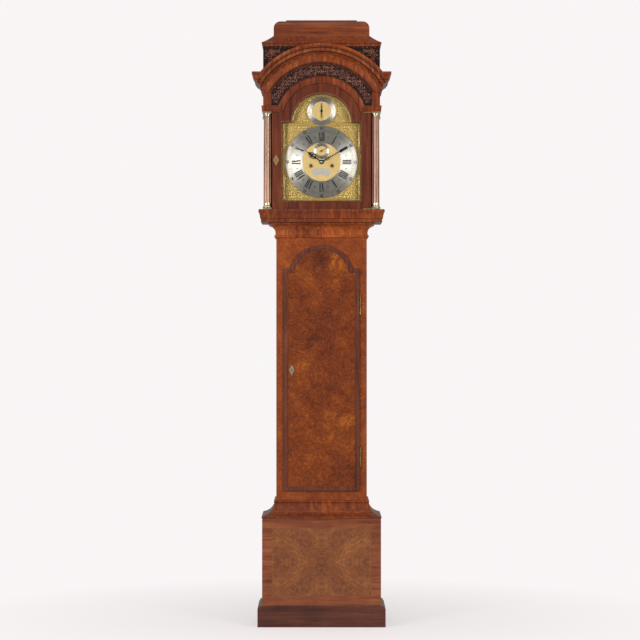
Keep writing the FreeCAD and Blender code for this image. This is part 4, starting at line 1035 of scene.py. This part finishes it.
def build_hands():
    """Pierced hour hand, slender minute hand, and the collet and pin that hold them."""
    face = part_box("minute_hand")[0][1]
    rows = [([(0, 0.005), (0, 0.040), (0, 0.090), (0, 0.130)],
             [0.0017, 0.0016, 0.0012, 0.0005]),
            ([(-0.0060, 0.020), (0, 0.016), (0.0060, 0.020)], [0.0004, 0.0012, 0.0004]),
            ([(-0.0045, 0.031), (0, 0.033), (0.0045, 0.031)], [0.0004, 0.0011, 0.0004])]
    loops = [(side * 0.0029, 0.0245, 0.0024, 0.0050, 0.0008) for side in (1, -1)]
    hand_piece("pierced_minute_hand", "centre_arbor", "minute_hand", 60, face, rows, loops,
               0.0065, 0.0025)

    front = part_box("hour_hand")[0][1]
    rows = [([(0, 0.007), (0, 0.030), (0, 0.060), (0, 0.0745)],
             [0.0022, 0.0017, 0.0020, 0.0005]),
            ([(-0.0125, 0.0455), (-0.006, 0.0440), (0, 0.0450), (0.006, 0.0440),
              (0.0125, 0.0455)], [0.0005, 0.0019, 0.0012, 0.0019, 0.0005]),
            ([(-0.0065, 0.0590), (0, 0.0555), (0.0065, 0.0590)], [0.0005, 0.0015, 0.0005]),
            ([(-0.0075, 0.0270), (0, 0.0310), (0.0075, 0.0270)], [0.0005, 0.0014, 0.0005])]
    loops = [(side * 0.0052, along, half, long, 0.0011) for side in (1, -1)
             for along, half, long in ((0.0380, 0.0044, 0.0062), (0.0505, 0.0034, 0.0048))]
    hand_piece("pierced_hour_hand", "hour_pipe", "hour_hand", -55, front, rows, loops,
               0.0085, 0.0055)

    bm = bmesh.new()
    turned(bm, dial_middle, [(0.0030, face), (0.0046, face), (0.0046, face - 0.0008),
                             (0.0038, face - 0.0018), (0.0018, face - 0.0024),
                             (0.0018, face - 0.0040), (0.0010, face - 0.0046)], steps=40)
    finish_piece("hand_collet", bm, "centre_arbor", "steel")


# ---- the hood's carving
FRET_RISE, CORNICE_OUTER = 0.0021, 0.3105


def build_frets():
    """Foliage round a running stem in the arched frieze, with thin borders, and end blocks."""
    bm = bmesh.new()
    base, rise = frieze_front, FRET_RISE
    inner, outer, foot, side = 0.1835, 0.2290, 2.0195, 0.194

    def on_arch(turn, radius):
        return (radius * math.sin(turn), ARCH_CENTRE + radius * math.cos(turn))

    waves, reach = 15, math.radians(64)
    stem = []
    for k in range(waves * 8 + 1):
        share = k / (waves * 8)
        swing = 0.0125 * math.sin(math.pi * waves * share)
        point = on_arch(reach * (2 * share - 1), (inner + outer) / 2 + swing)
        if point[1] > foot and abs(point[0]) < side - 0.003:
            stem.append(point)
    ribbon(bm, stem, [0.0016] * len(stem), base, rise)

    def in_band(x, z):
        radius = math.hypot(x, z - ARCH_CENTRE)
        between = inner + CASTING_GAP < radius < outer - CASTING_GAP
        return between and z > foot + 0.002 and x < side - 0.003

    strokes = foliage(in_band, (0.004, foot), (side, ARCH_CENTRE + outer), 0.0150, 7)
    for sign in (1, -1):
        carve(bm, strokes, 0.0014, base, rise * 0.9, lambda x, z: (sign * x, z))
    for radius, limit in ((inner, math.acos((foot - ARCH_CENTRE) / inner)),
                          (outer, math.asin(side / outer))):
        path = [on_arch(limit * (k / 32 - 1), radius) for k in range(65)]
        ribbon(bm, path, [BORDER_HALF] * len(path), base, rise * 0.8)
    finish_piece("frieze_fret", bm, "hood", "fret", ["hood_frets"])

    bm = bmesh.new()
    reach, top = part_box("hood_frieze_and_roof")[1][0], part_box("hood_cornice")[0][2]
    for sign in (1, -1):
        corners = [(sign * x, z) for x, z in ((side, foot - 0.0025), (reach, foot - 0.0025),
                                              (reach, top - 0.0005), (side, top - 0.0005))]
        plate(bm, corners, base - 0.0024, base)
    finish_piece("frieze_end_blocks", bm, "hood", "cross", smooth=False)


def build_corner_frets():
    """Foliage in the corners above the arched cornice."""
    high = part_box("hood_frets")[1]
    side, top = high[0] - 0.002, high[2] - 0.002

    def in_corner(x, z):
        return x < side and z < top and math.hypot(x, z - ARCH_CENTRE) > CORNICE_OUTER

    strokes = foliage(in_corner, (0.10, 2.14), (side, top), 0.0165, 11)
    bm = bmesh.new()
    for sign in (1, -1):
        carve(bm, strokes, 0.0021, frieze_front, FRET_RISE * 0.9, lambda x, z: (sign * x, z))
    finish_piece("corner_frets", bm, "hood", "fret")


def build_door_bead():
    """The ovolo that runs round the glass on the face of the hood door."""
    low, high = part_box("hood_door_glass")
    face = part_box("hood_door_frame")[0][1]
    gap = 0.0026
    half, foot, radius, shoulder = high[0] + gap, low[2] - gap, 0.116 + gap, 1.952 + gap
    height = shoulder - ARCH_CENTRE
    corner, start = math.sqrt(radius ** 2 - height ** 2) + 0.002, math.asin(height / radius)
    turns = [start + (math.pi - 2 * start) * k / 48 for k in range(49)]
    path = [(-half, foot), (half, foot), (half, shoulder), (corner, shoulder)]
    path += [on_circle((0.0, ARCH_CENTRE), radius, turn) for turn in turns]
    path += [(-corner, shoulder), (-half, shoulder)]
    bm = bmesh.new()
    ribbon(bm, path, [0.0024] * len(path), face, 0.0022, closed=True)
    finish_piece("glass_bead", bm, "hood_door", "bead")


# ---- gut lines
def tube(bm, path, radius, sides=8):
    """A round line through (x, y, z) points."""
    rings = []
    for i, point in enumerate(path):
        following, before = path[min(i + 1, len(path) - 1)], path[max(i - 1, 0)]
        ahead = (Vector(following) - Vector(before)).normalized()
        across = Vector((0, 1, 0))
        other = ahead.cross(across).normalized()
        rings.append([bm.verts.new(Vector(point) + radius * (math.cos(t) * across
                                                             + math.sin(t) * other))
                      for t in turns_round(sides)])
    skin(bm, rings)


def build_gut():
    """Falls of gut line, and the turn under each pulley, which rides on its weight."""
    for train in ("going", "strike"):
        low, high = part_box(train + "_gut_line")
        radius, length = (high[1] - low[1]) / 2, high[2] - low[2]
        falls = (low[0] + radius, high[0] - radius)
        bm = bmesh.new()
        for x in falls:
            tube(bm, [(x, 0, low[2] + length * k / 60) for k in range(61)], radius)
        piece = finish_piece(train + "_gut_falls", bm, "root", "gut", [train + "_gut_line"])
        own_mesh(piece)
        bm = bmesh.new()
        middle, reach = sum(falls) / 2, (falls[1] - falls[0]) / 2
        turn = [(middle + reach * math.cos(t), 0, low[2] + reach * math.sin(t))
                for t in (math.pi + math.pi * k / 24 for k in range(25))]
        tube(bm, turn, radius)
        finish_piece(train + "_gut_turn", bm, train + "_weight_body", "gut")


# ---- everything, in order
dress_nodes()
build_dial_engraving()
build_small_rings()
build_spandrels()
build_winding_holes()
build_hands()
build_frets()
build_corner_frets()
build_door_bead()
build_gut()
build_stage()
